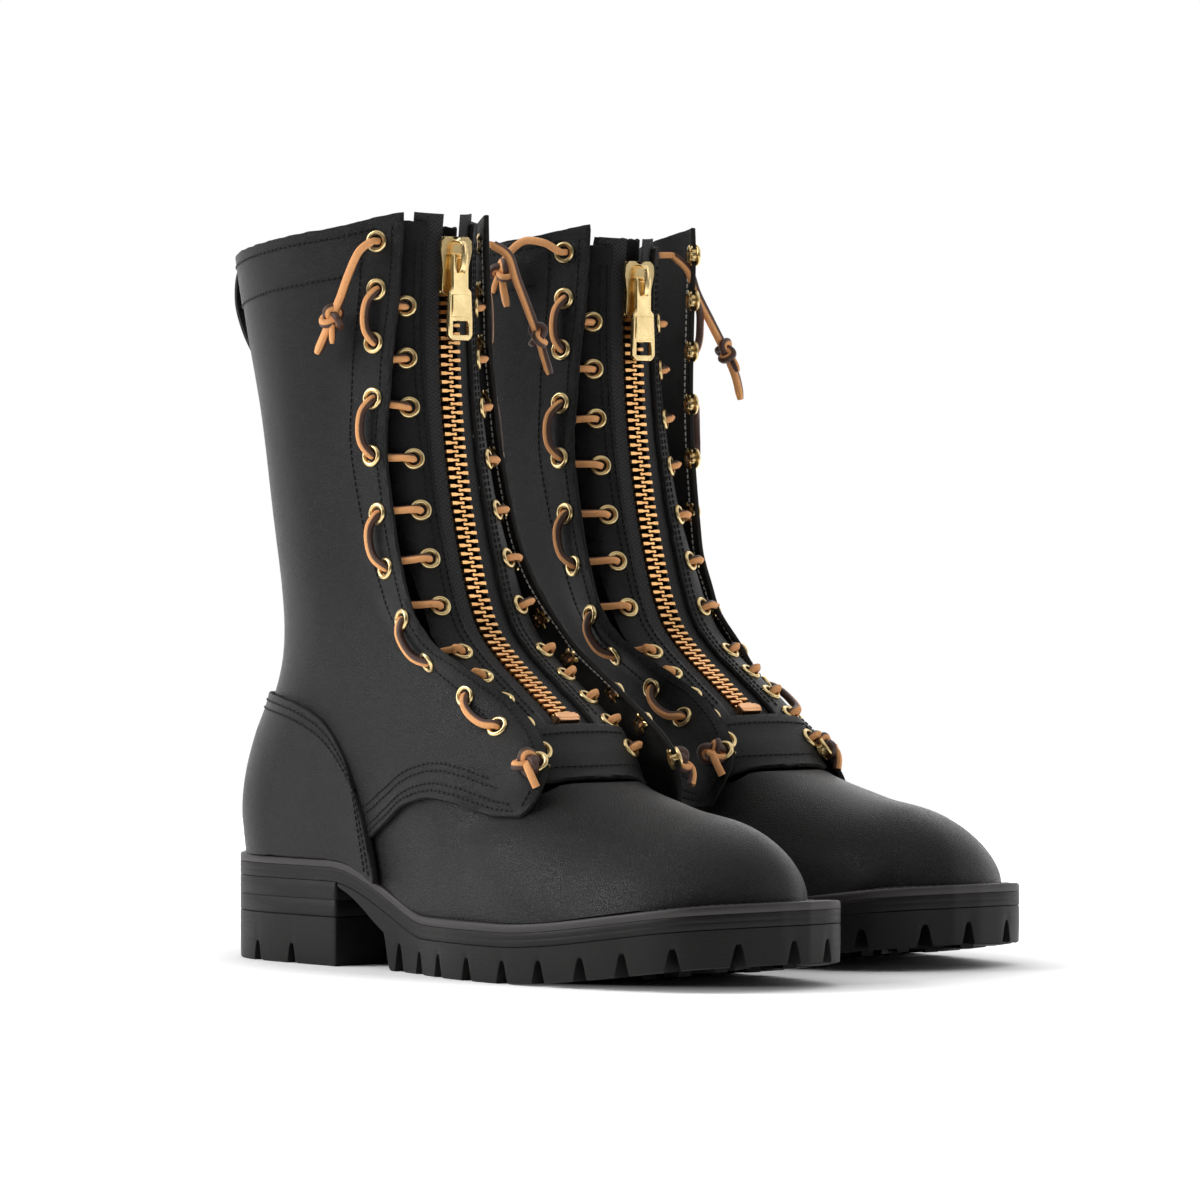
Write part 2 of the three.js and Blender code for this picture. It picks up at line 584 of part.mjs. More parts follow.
function sliderPlate(x0, x1) {
  const half = SLIDER_LENGTH / 2;
  const shape = new THREE.Shape();
  const points = [[-SLIDER.tail / 2, -half], [SLIDER.tail / 2, -half], [SLIDER.tail / 2, 0], [SLIDER.shoulder / 2, half * 0.62], [SLIDER.shoulder / 2 - 1, half], [-SLIDER.shoulder / 2 + 1, half], [-SLIDER.shoulder / 2, half * 0.62], [-SLIDER.tail / 2, 0]];
  points.forEach(([y, z], i) => (i ? shape.lineTo(y, z) : shape.moveTo(y, z)));
  shape.closePath();
  const made = new THREE.ExtrudeGeometry(shape, { depth: x1 - x0, bevelEnabled: false });
  return made.rotateX(Math.PI / 2).rotateZ(Math.PI / 2).translate(x0, 0, 0);
}

function zipSlider(drop) {
  const inside = SLIDER.channel;
  const outside = inside + SLIDER.plate;
  const half = SLIDER_LENGTH / 2;
  const front = sliderPlate(inside, outside);
  const back = sliderPlate(-outside, -inside);
  const wedge = box(-inside - 0.5, inside + 0.5, -0.5, 0.5, half - 7, half - 1);
  const lips = [];
  for (const side of [LATERAL, MEDIAL]) {
    const y = [side * (SLIDER.tail / 2 - 0.9), side * (SLIDER.tail / 2)].sort((a, b) => a - b);
    lips.push(box(1.4, inside + 0.4, ...y, -half + 0.5, -0.5));
    lips.push(box(-inside - 0.4, -1.4, ...y, -half + 0.5, -0.5));
  }
  const bar = SLIDER.bar;
  const arch = (x0, x1, z0, z1) => box(outside + x0, outside + x1, -1.2, 1.2, bar.z + z0, bar.z + z1);
  const bridge = [arch(-0.4, 5.2, -5, -3), arch(-0.4, 5.2, 3, 5), arch(3.6, 5.2, -5, 5)];
  return onTrack(joined(front, back, wedge, ...lips, ...bridge), drop);
}

// The pull tab: its top bar turns under the slider's bridge, which passes through the slot below it.
function zipPull(drop) {
  const half = PULL.width / 2;
  const plate = box(-PULL.thick / 2, PULL.thick / 2, -half, half, -PULL.length, 0.9);
  const slot = box(-3, 3, -1.8, 1.8, -6.3, -0.9);
  const fingerHole = box(-3, 3, -3.2, 3.2, -PULL.length + 2.5, -PULL.length + 8);
  const hanging = cut(plate, slot, fingerHole).rotateY(-trackAngle(drop));
  return onTrack(hanging.translate(SLIDER.channel + SLIDER.plate + SLIDER.bar.x, 0, SLIDER.bar.z), drop);
}

// ---- Laces -----------------------------------------------------------------------------------
const LACE = 2.2;
const EYELET_COUNT = 12;

// A round tube along points, with flat ends.
function tube(points, diameter, sides, steps) {
  const path = new THREE.CatmullRomCurve3(points);
  const section = new THREE.Shape();
  for (let i = 0; i < sides; i++) {
    const angle = (2 * Math.PI * i) / sides;
    const place = [(Math.cos(angle) * diameter) / 2, (Math.sin(angle) * diameter) / 2];
    if (i) section.lineTo(...place);
    else section.moveTo(...place);
  }
  section.closePath();
  return new THREE.ExtrudeGeometry(section, { steps, extrudePath: path, bevelEnabled: false });
}

// The run of a lace between quarter and zip panel, to and fro from one row of eyelets to the other.
function lace(side) {
  const from = crestAtHeight(280);
  const to = crestAtX(172);
  const points = [];
  for (let i = 0; i < EYELET_COUNT; i++) {
    const place = frontPoint(lerp(from, to, i / (EYELET_COUNT - 1)), side * (i % 2 ? 18.5 : 24));
    points.push(skinPoint(place.x, place.z, side, 0.9));
  }
  return tube(points, LACE, 5, 2 * EYELET_COUNT);
}

// The free ends of the laces hang outside the quarters from the top eyelets, each to its knot:
// places in the mid-plane, and how far outside the quarter's surface.
const TAILS = {
  right_lateral: [[96, 284, 2], [92, 280, 4], [88, 271, 4], [85, 262, 4], [82, 254, 4.5], [79, 247, 4], [76, 240, 4]],
  right_medial: [[96, 284, 2], [97, 280, 8], [96, 270, 12], [95, 258, 17], [95, 247, 21], [96, 239, 23], [97, 231, 25]],
  left_lateral: [[96, 284, 2], [98, 278, 8], [97, 268, 12], [97, 256, 18], [98, 243, 24], [99, 232, 28], [99, 222, 30]],
  left_medial: [[96, 284, 2], [91, 288, 4], [84, 289, 5], [78, 284, 5], [75, 277, 5], [75, 270, 4.5], [76, 262, 4]],
};
const TAIL_DIAMETER = 3.6;
const KNOT_AT = 4; // the point of each tail where its knot sits

function laceTail(boot, side) {
  const name = `${boot}_${side === LATERAL ? "lateral" : "medial"}`;
  const skin = OFFSET.quarter + LEATHER + TAIL_DIAMETER / 2;
  const points = TAILS[name].map(([x, z, off]) => skinPoint(x, z, side, skin + off - 1.5));
  const cord = tube(points, TAIL_DIAMETER, 6, 8);
  const knot = mergeVertices(new THREE.IcosahedronGeometry(4.6, 1).deleteAttribute("normal").deleteAttribute("uv"));
  return joined(cord, knot.translate(...points[KNOT_AT].toArray()));
}

// ---- Materials -------------------------------------------------------------------------------
const finish = (color, roughness, metalness = 0) => new THREE.MeshStandardMaterial({ color, roughness, metalness });
const MATERIAL = {
  leather: finish(0x1c1c1d, 0.55),
  rubber: finish(0x191818, 0.7),
  welt: finish(0x1f1e1d, 0.65),
  inner: finish(0x6b4a31, 0.8),
  steel: finish(0x8c8f93, 0.35, 1),
  brass: finish(0xd8b25a, 0.28, 1),
  tape: finish(0x0f1012, 0.9),
  lace: finish(0x6a3c22, 0.7),
};

// ---- Assembly --------------------------------------------------------------------------------
function boot(side) {
  const drop = INSERT_DROP[side];
  const group = new THREE.Group();
  const add = (name, geometry, material) => {
    const mesh = new THREE.Mesh(geometry, material);
    mesh.name = `${side}_${name}`;
    group.add(mesh);
  };
  add("outsole", outsole(), MATERIAL.rubber);
  add("heel_lift", heelLift(), MATERIAL.rubber);
  add("heel_base", heelBase(), MATERIAL.rubber);
  add("midsole", midsole(), MATERIAL.rubber);
  add("welt", welt(), MATERIAL.welt);
  add("insole", insole(), MATERIAL.inner);
  add("shank", shank(), MATERIAL.steel);
  add("vamp", vamp(), MATERIAL.leather);
  add("toe_box", toeBox(), MATERIAL.inner);
  add("heel_counter", heelCounter(), MATERIAL.leather);
  add("counter_stiffener", counterStiffener(), MATERIAL.inner);
  add("lateral_quarter", quarter(LATERAL), MATERIAL.leather);
  add("medial_quarter", quarter(MEDIAL), MATERIAL.leather);
  add("backstay", backstay(), MATERIAL.leather);
  add("pull_loop", pullLoop(), MATERIAL.leather);
  add("tongue", tongue(), MATERIAL.leather);
  add("lateral_zip_panel", zipPanel(LATERAL, drop), MATERIAL.leather);
  add("medial_zip_panel", zipPanel(MEDIAL, drop), MATERIAL.leather);
  add("zip_base_tab", zipBaseTab(), MATERIAL.leather);
  add("lateral_zip_tape", zipTape(LATERAL, drop), MATERIAL.tape);
  add("medial_zip_tape", zipTape(MEDIAL, drop), MATERIAL.tape);
  add("lateral_zip_teeth", zipTeeth(LATERAL, drop), MATERIAL.brass);
  add("medial_zip_teeth", zipTeeth(MEDIAL, drop), MATERIAL.brass);
  add("zip_bottom_stop", zipBottomStop(), MATERIAL.brass);
  add("zip_slider", zipSlider(drop), MATERIAL.brass);
  add("zip_pull", zipPull(drop), MATERIAL.brass);
  add("lateral_lace", lace(LATERAL), MATERIAL.lace);
  add("medial_lace", lace(MEDIAL), MATERIAL.lace);
  add("lateral_lace_tail", laceTail(side, LATERAL), MATERIAL.lace);
  add("medial_lace_tail", laceTail(side, MEDIAL), MATERIAL.lace);
  return group;
}

const rightBoot = boot("right");
const leftBoot = boot("left");
leftBoot.scale.y = -1;
leftBoot.position.set(-LEFT_STEP_BACK, BOOT_SPACING, 0);

// The pair's origin is on the floor, under the middle of everything but the hanging laces.
const extent = new THREE.Box3();
for (const one of [rightBoot, leftBoot]) {
  one.updateMatrixWorld(true);
  for (const mesh of one.children) {
    if (!mesh.name.endsWith("lace_tail")) extent.expandByObject(mesh, true);
  }
}
const middle = extent.getCenter(new THREE.Vector3()).setZ(0);
rightBoot.position.sub(middle);
leftBoot.position.sub(middle);

export default new THREE.Group().add(rightBoot, leftBoot);
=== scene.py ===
"""A pair of tall leather fire boots: looks, light and camera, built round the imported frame."""

import logging
import math
import random
from dataclasses import dataclass, field
from enum import Enum
from typing import Callable, Sequence

import bmesh
import bpy
import numpy as np
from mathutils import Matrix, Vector


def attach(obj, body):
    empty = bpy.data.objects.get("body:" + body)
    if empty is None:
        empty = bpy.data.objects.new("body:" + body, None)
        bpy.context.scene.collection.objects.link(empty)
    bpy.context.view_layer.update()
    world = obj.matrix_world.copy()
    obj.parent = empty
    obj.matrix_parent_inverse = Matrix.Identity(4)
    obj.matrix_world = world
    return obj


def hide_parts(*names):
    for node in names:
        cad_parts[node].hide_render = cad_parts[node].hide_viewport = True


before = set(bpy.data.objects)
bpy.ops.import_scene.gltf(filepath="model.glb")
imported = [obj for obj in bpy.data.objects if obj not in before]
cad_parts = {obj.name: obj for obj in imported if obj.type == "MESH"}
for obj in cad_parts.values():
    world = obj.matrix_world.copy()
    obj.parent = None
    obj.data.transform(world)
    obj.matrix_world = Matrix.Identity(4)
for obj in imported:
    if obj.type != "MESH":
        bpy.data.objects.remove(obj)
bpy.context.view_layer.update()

LOG = logging.getLogger("boots")
MM = 0.001
Array = np.ndarray

# ---- Sizes that the pair shares, in millimetres, in the right boot's own frame ------------------
BOOT_SPACING = 134.0
LEFT_STEP_BACK = 45.0
RIGHT_ORIGIN = (-125.8737, -67.0)
SOLE_LENGTH = 311.0
HEEL_BREAST = 89.0
HEEL_SEAT = 42.0
TOE_SPRING = 9.0
TRACK_RADIUS = 320.0
TRACK_CENTRE = (429.0, 250.0)
CHAIN_DEPTH = -3.8
SLIDER_TOP = 286.0
SLIDER_LENGTH = 23.0
SEEN_X, SEEN_Y = 0.649, 0.7607  # how the eyelets were surveyed: slantwise across the boot
LAYER = {"tongue": -10.9, "panel": -3.0, "quarter": 0.9, "lap": 2.5, "counter": 3.9}
LEATHER = 2.1


class Foot(Enum):
    """Which boot of the pair: its name, and the sign of its medial side's Y."""

    RIGHT = ("right", 1.0, 0.0)
    LEFT = ("left", -1.0, 5.5)

    @property
    def label(self) -> str:
        """The boot's name in node and body names."""
        return self.value[0]

    @property
    def sign(self) -> float:
        """1 for the right boot, and -1 for the left one, which is its mirror."""
        return self.value[1]

    @property
    def zip_drop(self) -> float:
        """How much lower the boot's zip sits, in millimetres."""
        return self.value[2]

    @property
    def body(self) -> str:
        """The body that the whole boot rides on."""
        return f"{self.label}_boot"

    def to_row(self, points: Array) -> Array:
        """Moves points from the boot's own frame into the row frame.

        Args:
            points: millimetres, in the boot's own frame.

        Returns:
            Metres, in the row frame.
        """
        out = np.array(points, float).reshape(-1, 3).copy()
        back = 0.0 if self is Foot.RIGHT else LEFT_STEP_BACK
        middle = RIGHT_ORIGIN[1] + (0.0 if self is Foot.RIGHT else BOOT_SPACING)
        out[:, 0] += RIGHT_ORIGIN[0] - back
        out[:, 1] = self.sign * out[:, 1] + middle
        return out * MM


class Side(Enum):
    """A side of a boot, with the sign of its Y in the boot's own frame."""

    LATERAL = -1.0
    MEDIAL = 1.0

    @property
    def label(self) -> str:
        """The side's name in node names."""
        return self.name.lower()


# ---- Curves -------------------------------------------------------------------------------------
def spline(points: Sequence[Sequence[float]], steps: int) -> Array:
    """A smooth line through points.

    Args:
        points: the points to pass through.
        steps: how many stretches the line is divided into.

    Returns:
        The line's points.
    """
    p = np.array(points, float)
    n = len(p)
    t = np.linspace(0, 1, steps + 1) * (n - 1)
    i = np.minimum(t.astype(int), n - 2)
    w = (t - i)[:, None]
    a, b = p[np.maximum(i - 1, 0)], p[i]
    c, d = p[i + 1], p[np.minimum(i + 2, n - 1)]
    v0, v1 = (c - a) / 2, (d - b) / 2
    return (2 * b - 2 * c + v0 + v1) * w**3 + (-3 * b + 3 * c - 2 * v0 - v1) * w**2 + v0 * w + b


def graph(points: Sequence[Sequence[float]]) -> Callable[[Array], Array]:
    """A smooth graph through (input, value) points, flat beyond its ends."""
    line = spline(points, 40 * len(points))
    return lambda x: np.interp(x, line[:, 0], line[:, 1])


def smooth(a: float, b: float, x: Array) -> Array:
    """0 before a, 1 after b, and an even S between."""
    t = np.clip((np.asarray(x, float) - a) / (b - a), 0, 1)
    return t * t * (3 - 2 * t)


def mix(a: Array, b: Array, t: Array) -> Array:
    """The value a part t of the way from a to b."""
    return a + (b - a) * t


def unit(v: Array) -> Array:
    """Vectors made one long, along the last axis."""
    return v / np.maximum(np.linalg.norm(v, axis=-1, keepdims=True), 1e-9)


# ---- The boot's form ----------------------------------------------------------------------------
class BootForm:
    """The leather reference surface that every layer of the upper is measured from."""

    TOE_CENTRE = (250.0, 63.0)
    TOE_TIP = (304.0, 31.0)
    TOE_ROUND = 0.92
    FRONT_ROUND = 1.9

    def __init__(self) -> None:
        """Works out the crest and back lines and the widths."""
        z = np.linspace(304, 146, 160)
        radius = TRACK_RADIUS + CHAIN_DEPTH
        shaft = np.stack([TRACK_CENTRE[0] - np.sqrt(radius**2 - (z - TRACK_CENTRE[1]) ** 2), z], 1)
        instep = spline(
            [[130.4, 146], [137, 133.5], [149, 122.5], [166, 111], [184, 98.5], [195, 86.5],
             [205, 76], [220, 70.5], [236, 67.5], [250, 63]], 160)
        s = np.linspace(0, 1, 90)[1:]
        toe = np.stack(self.toe_point(1 - s), 1)
        self.crest = np.concatenate([shaft, instep[1:], toe])
        self.back = spline(
            [[13, 20], [11, 42], [9, 60], [10.5, 76], [15.5, 92], [22, 106], [25.2, 124],
             [24.2, 146], [18.9, 178], [13.5, 215], [5.5, 250], [-0.7, 282], [-2.5, 305]], 300)
        step = np.linalg.norm(np.diff(self.crest, axis=0), axis=1)
        self.crest_run = np.concatenate([[0], np.cumsum(step)])
        self.leg_width = graph([[20, 34], [60, 36], [100, 34.5], [135, 33.5], [170, 34.5],
                                [215, 36.5], [255, 38.5], [304, 40.5]])
        self.foot_width = {
            Side.LATERAL: graph([[-20, 34], [60, 35.5], [105, 36], [140, 41], [180, 47.5],
                                 [215, 52], [250, 50.5], [285, 46], [320, 44]]),
            Side.MEDIAL: graph([[-20, 33], [60, 34], [105, 32], [140, 33], [180, 40.5],
                                [215, 42], [250, 37], [285, 33], [320, 31]]),
        }
        self.blunt_width = graph([[-210, 13], [-177, 14.5], [-140, 17], [-101, 20], [-60, 22.5],
                                  [-22, 26], [20, 28], [63, 28], [112, 25], [150, 20]])
        self.blunt_depth = graph([[-210, 12], [-100, 12], [-22, 8], [63, 6], [150, 8]])

    def toe_point(self, s: Array) -> tuple[Array, Array]:
        """A place on the toe's outline, from its tip at 0 to its top at 1."""
        run = np.cos(s * math.pi / 2) ** self.TOE_ROUND
        rise = np.sin(s * math.pi / 2) ** self.TOE_ROUND
        x = self.TOE_CENTRE[0] + (self.TOE_TIP[0] - self.TOE_CENTRE[0]) * run
        return x, self.TOE_TIP[1] + (self.TOE_CENTRE[1] - self.TOE_TIP[1]) * rise

    @staticmethod
    def distance(line: Array, x: Array, z: Array) -> Array:
        """Distance of points of the mid-plane from a line."""
        a, d = line[:-1], np.diff(line, axis=0)
        size = (d**2).sum(1)
        flat_x, flat_z = np.ravel(x), np.ravel(z)
        best = np.full(flat_x.shape, 1e9)
        for k in range(0, len(flat_x), 4000):
            px, pz = flat_x[k:k + 4000, None], flat_z[k:k + 4000, None]
            t = np.clip(((px - a[:, 0]) * d[:, 0] + (pz - a[:, 1]) * d[:, 1]) / size, 0, 1)
            gap = np.hypot(px - a[:, 0] - d[:, 0] * t, pz - a[:, 1] - d[:, 1] * t)
            best[k:k + 4000] = gap.min(1)
        return best.reshape(np.shape(x))

    @staticmethod
    def rounding(distance: Array, radius: Array, power: float) -> Array:
        """How far the section has opened at a distance from where it closes, from 0 to 1."""
        t = np.clip(1 - distance / radius, 0, 1)
        return (1 - t**power) ** (1 / power)

    def half_width(self, x: Array, z: Array, side: Side) -> Array:
        """Half-width of the reference surface at points of the mid-plane."""
        x, z = np.asarray(x, float), np.asarray(z, float)
        leg = smooth(55, 135, z - 0.15 * np.maximum(0, x - 110))
        width = mix(self.foot_width[side](x), self.leg_width(z), leg)
        q = x - z
        to_crest = self.distance(self.crest, x, z)
        blunt = self.blunt_width(q)
        flare = np.sin(math.pi / 2 * np.clip(to_crest / 62, 0, 1)) ** 1.15
        open_front = blunt * self.rounding(to_crest, self.blunt_depth(q), 2.2)
        open_front = open_front + (width - blunt) * flare
        closed = width * self.rounding(to_crest, 41, self.FRONT_ROUND)
        back = self.rounding(self.distance(self.back, x, z), mix(36, 50, leg), 2.0)
        return mix(open_front, closed, smooth(108, 150, q)) * back

    def skin(self, x: Array, z: Array, side: Side, lift: float = 0.0) -> tuple[Array, Array]:
        """Points of the surface and their outward normals.

        Args:
            x: places in the mid-plane.
            z: heights.
            side: the boot's side.
            lift: how far outside the reference surface the points are.

        Returns:
            The points and the unit normals.
        """
        x, z = np.asarray(x, float), np.asarray(z, float)
        w = self.half_width(x, z, side)
        e = 0.4
        wx = (self.half_width(x + e, z, side) - self.half_width(x - e, z, side)) / (2 * e)
        wz = (self.half_width(x, z + e, side) - self.half_width(x, z - e, side)) / (2 * e)
        normal = unit(np.stack([-wx, np.full_like(w, side.value), -wz], -1))
        return np.stack([x, side.value * w, z], -1) + normal * lift, normal

    def crest_at(self, run: Array) -> tuple[Array, Array]:
        """The crest's point and outward direction in the mid-plane, by distance along it."""
        at = np.stack([np.interp(run, self.crest_run, self.crest[:, k]) for k in (0, 1)], -1)
        near = np.stack([np.interp(run - 1.5, self.crest_run, self.crest[:, k]) for k in (0, 1)], -1)
        far = np.stack([np.interp(run + 1.5, self.crest_run, self.crest[:, k]) for k in (0, 1)], -1)
        along = unit(far - near)
        return at, np.stack([-along[..., 1], along[..., 0]], -1)

    def run_at_height(self, z: float) -> float:
        """Distance along the crest to where the shaft's front has a height."""
        return float(self.crest_run[int(np.argmax(self.crest[:, 1] <= z))])

    def run_at_x(self, x: float) -> float:
        """Distance along the crest to where the instep reaches an X."""
        late = (self.crest[:, 0] >= x) & (np.arange(len(self.crest)) > 120)
        return float(self.crest_run[int(np.argmax(late))])

    def front(self, run: Array, y: Array) -> Array:
        """Points of the reference surface reached from the crest by going sideways to Y."""
        run, y = np.broadcast_arrays(np.asarray(run, float), np.asarray(y, float))
        at, out = self.crest_at(run)
        low, high = np.zeros(y.shape), np.full(y.shape, 45.0)
        for _ in range(18):
            middle = (low + high) / 2
            x, z = at[..., 0] - out[..., 0] * middle, at[..., 1] - out[..., 1] * middle
            wide = np.where(y < 0, self.half_width(x, z, Side.LATERAL), self.half_width(x, z, Side.MEDIAL))
            inside = wide < np.abs(y)
            low, high = np.where(inside, middle, low), np.where(inside, high, middle)
        return np.stack([at[..., 0] - out[..., 0] * low, y, at[..., 1] - out[..., 1] * low], -1)


FORM = BootForm()


def welt_top(x: Array) -> Array:
    """Height of the welt's top face."""
    return mix(HEEL_SEAT, 22.6, smooth(84, 152, x)) + TOE_SPRING * smooth(205, 330, x) * 1.25


def toe_lift(x: Array) -> Array:
    """How far the tread curves off the floor towards the toes."""
    return TOE_SPRING * smooth(205, 345, x) * 1.3


# ---- Shader writing -----------------------------------------------------------------------------
class Value:
    """A number socket that is used in Python expressions; each operation adds a Math node."""

    def __init__(self, nodes: "NodeWriter", socket: bpy.types.NodeSocket) -> None:
        """Wraps a socket of a tree."""
        self.nodes = nodes
        self.socket = socket

    def _math(self, operation: str, first: object, second: object) -> "Value":
        """Adds a Math node on two numbers."""
        made = self.nodes.add("ShaderNodeMath", {"operation": operation}, {0: first, 1: second})
        return Value(self.nodes, made.outputs[0])

    def __add__(self, other: object) -> "Value":
        """The sum."""
        return self._math("ADD", self, other)

    __radd__ = __add__

    def __mul__(self, other: object) -> "Value":
        """The product."""
        return self._math("MULTIPLY", self, other)

    __rmul__ = __mul__

    def __sub__(self, other: object) -> "Value":
        """The difference."""
        return self._math("SUBTRACT", self, other)

    def __rsub__(self, other: object) -> "Value":
        """The difference from another number."""
        return self._math("SUBTRACT", other, self)

    def __pow__(self, other: object) -> "Value":
        """The power."""
        return self._math("POWER", self, other)

    def sine(self) -> "Value":
        """The sine."""
        return self._math("SINE", self, 0.0)

    def fraction(self) -> "Value":
        """What is left after the whole number."""
        return self._math("FRACT", self, 0.0)

    def size(self) -> "Value":
        """The number without its sign."""
        return self._math("ABSOLUTE", self, 0.0)

    def above(self, limit: float) -> "Value":
        """1 where the number is over a limit."""
        return self._math("GREATER_THAN", self, limit)


class NodeWriter:
    """Writes the node tree of one material, or of the world."""

    def __init__(self, owner: bpy.types.Material | bpy.types.World) -> None:
        """Clears the owner's tree."""
        owner.use_nodes = True
        self.tree = owner.node_tree
        self.tree.nodes.clear()

    def add(self, kind: str, settings: dict, inputs: dict) -> bpy.types.Node:
        """Adds a node.

        Args:
            kind: the node's type.
            settings: its properties; a "stops" entry gives a colour ramp's stops.
            inputs: values or links of its sockets, by name or number.

        Returns:
            The node.
        """
        node = self.tree.nodes.new(kind)
        for name, value in settings.items():
            if name == "stops":
                ramp = node.color_ramp
                while len(ramp.elements) < len(value):
                    ramp.elements.new(0.5)
                for element, (place, colour) in zip(ramp.elements, value):
                    element.position, element.color = place, colour
            else:
                setattr(node, name, value)
        for name, value in inputs.items():
            socket = node.inputs[name]
            source = value.socket if isinstance(value, Value) else value
            if isinstance(source, bpy.types.NodeSocket):
                self.tree.links.new(source, socket)
            else:
                socket.default_value = source
        return node

    def place(self) -> bpy.types.NodeSocket:
        """Coordinates in the object's own frame."""
        return self.add("ShaderNodeTexCoord", {}, {}).outputs["Object"]

    def strip_place(self) -> tuple[Value, Value]:
        """Coordinates across and along a strip, in metres."""
        uv = self.add("ShaderNodeTexCoord", {}, {}).outputs["UV"]
        split = self.add("ShaderNodeSeparateXYZ", {}, {0: uv})
        return Value(self, split.outputs[0]), Value(self, split.outputs[1])

    def noise(self, scale: float, detail: float = 3.0, where: object = None, rough: float = 0.5) -> Value:
        """Soft noise between 0 and 1."""
        made = self.add("ShaderNodeTexNoise", {}, {
            "Vector": where or self.place(), "Scale": scale, "Detail": detail, "Roughness": rough})
        return Value(self, made.outputs[0])

    def cells(self, scale: float, feature: str = "DISTANCE_TO_EDGE") -> Value:
        """Distance inside the cells of a cracked pattern."""
        made = self.add("ShaderNodeTexVoronoi", {"feature": feature}, {
            "Vector": self.place(), "Scale": scale})
        return Value(self, made.outputs["Distance"])

    def ramp(self, value: Value, low: float, high: float) -> Value:
        """0 up to low, 1 from high."""
        made = self.add("ShaderNodeMapRange", {"clamp": True}, {0: value, 1: low, 2: high})
        return Value(self, made.outputs[0])

    def blend(self, share: Value, a: Sequence[float], b: Sequence[float]) -> bpy.types.NodeSocket:
        """A colour a share of the way from a to b."""
        made = self.add("ShaderNodeMix", {"data_type": "RGBA"}, {0: share, 6: a, 7: b})
        return made.outputs[2]

    def attribute(self, name: str) -> Value:
        """A number stored on the mesh."""
        return Value(self, self.add("ShaderNodeAttribute", {"attribute_name": name}, {}).outputs["Fac"])

    def bump(self, height: Value, depth: float, strength: float = 1.0) -> bpy.types.NodeSocket:
        """A surface relief from a height between 0 and 1."""
        made = self.add("ShaderNodeBump", {}, {"Height": height, "Distance": depth, "Strength": strength})
        return made.outputs[0]

    def surface(self, inputs: dict) -> None:
        """Ends the tree in one principled surface."""
        shader = self.add("ShaderNodeBsdfPrincipled", {}, inputs)
        self.add("ShaderNodeOutputMaterial", {}, {0: shader.outputs[0]})


def rgba(r: float, g: float, b: float) -> tuple[float, float, float, float]:
    """An opaque colour."""
    return (r, g, b, 1.0)


@dataclass(frozen=True)
class Finish:
    """A named finish, which also carries a slot name that nothing here uses."""

    name: str
    slot: str

    def write(self, nodes: NodeWriter) -> None:
        """Writes the finish's nodes."""
        raise NotImplementedError

    def material(self) -> bpy.types.Material:
        """The finish's material, made once."""
        found = bpy.data.materials.get(self.name)
        if found is None:
            found = bpy.data.materials.new(self.name)
            self.write(NodeWriter(found))
        return found


@dataclass(frozen=True)
class OiledLeather(Finish):
    """Black waxed leather with fine pores, soft creases and fibrous cut edges."""

    gloss: float = 0.5
    crease: float = 0.5

    def write(self, nodes: NodeWriter) -> None:
        """Writes mottled colour, pores, creases and raw edges."""
        raw = nodes.attribute("raw")
        mottle = nodes.noise(38, 4)
        cloud = nodes.noise(9, 2)
        pores = nodes.ramp(nodes.cells(1150), 0.0, 0.18)
        grain = nodes.noise(2600, 2)
        creases = nodes.noise(95, 5, rough=0.62)
        fibres = nodes.noise(1900, 4, rough=0.8)
        face = nodes.blend(nodes.ramp(mottle, 0.32, 0.72), rgba(0.0036, 0.0036, 0.0038),
                           rgba(0.0082, 0.0082, 0.0084))
        edge = nodes.blend(fibres, rgba(0.006, 0.0058, 0.0056), rgba(0.034, 0.032, 0.03))
        colour = nodes.add("ShaderNodeMix", {"data_type": "RGBA"}, {0: raw, 6: face, 7: edge}).outputs[2]
        rough = self.gloss + (mottle - 0.5) * 0.16 + (cloud - 0.5) * 0.12 + (1 - pores) * 0.12
        relief = pores * 0.55 + grain * 0.25 + creases * self.crease * 1.6 + raw * fibres * 5
        nodes.surface({
            "Base Color": colour,
            "Roughness": rough * (1 - raw) + raw * 0.92,
            "Specular IOR Level": 0.22,
            "Normal": nodes.bump(relief, 0.00026, 0.8),
        })


@dataclass(frozen=True)
class Rubber(Finish):
    """Ground black rubber with dust in its pores and fine sanding marks."""

    dust: float = 1.0

    def write(self, nodes: NodeWriter) -> None:
        """Writes speckles, sanding marks and worn edges."""
        stretched = nodes.add("ShaderNodeMapping", {}, {
            "Vector": nodes.place(), "Scale": (60, 60, 900)}).outputs[0]
        sanding = nodes.noise(2.2, 4, stretched)
        speckle = nodes.ramp(nodes.noise(2100, 2), 0.66, 0.74) * nodes.ramp(nodes.noise(42, 3), 0.5, 0.68)
        cloud = nodes.noise(30, 3)
        base = nodes.blend(cloud, rgba(0.0032, 0.003, 0.0028), rgba(0.0078, 0.0071, 0.0067))
        colour = nodes.add("ShaderNodeMix", {"data_type": "RGBA"}, {
            0: speckle * 0.5 * self.dust, 6: base, 7: rgba(0.16, 0.155, 0.145)}).outputs[2]
        nodes.surface({
            "Base Color": colour,
            "Roughness": 0.46 + (cloud - 0.5) * 0.2 + sanding * 0.12,
            "Specular IOR Level": 0.2,
            "Normal": nodes.bump(sanding * 0.7 + nodes.noise(900, 3) * 0.5, 0.0002, 0.5),
        })


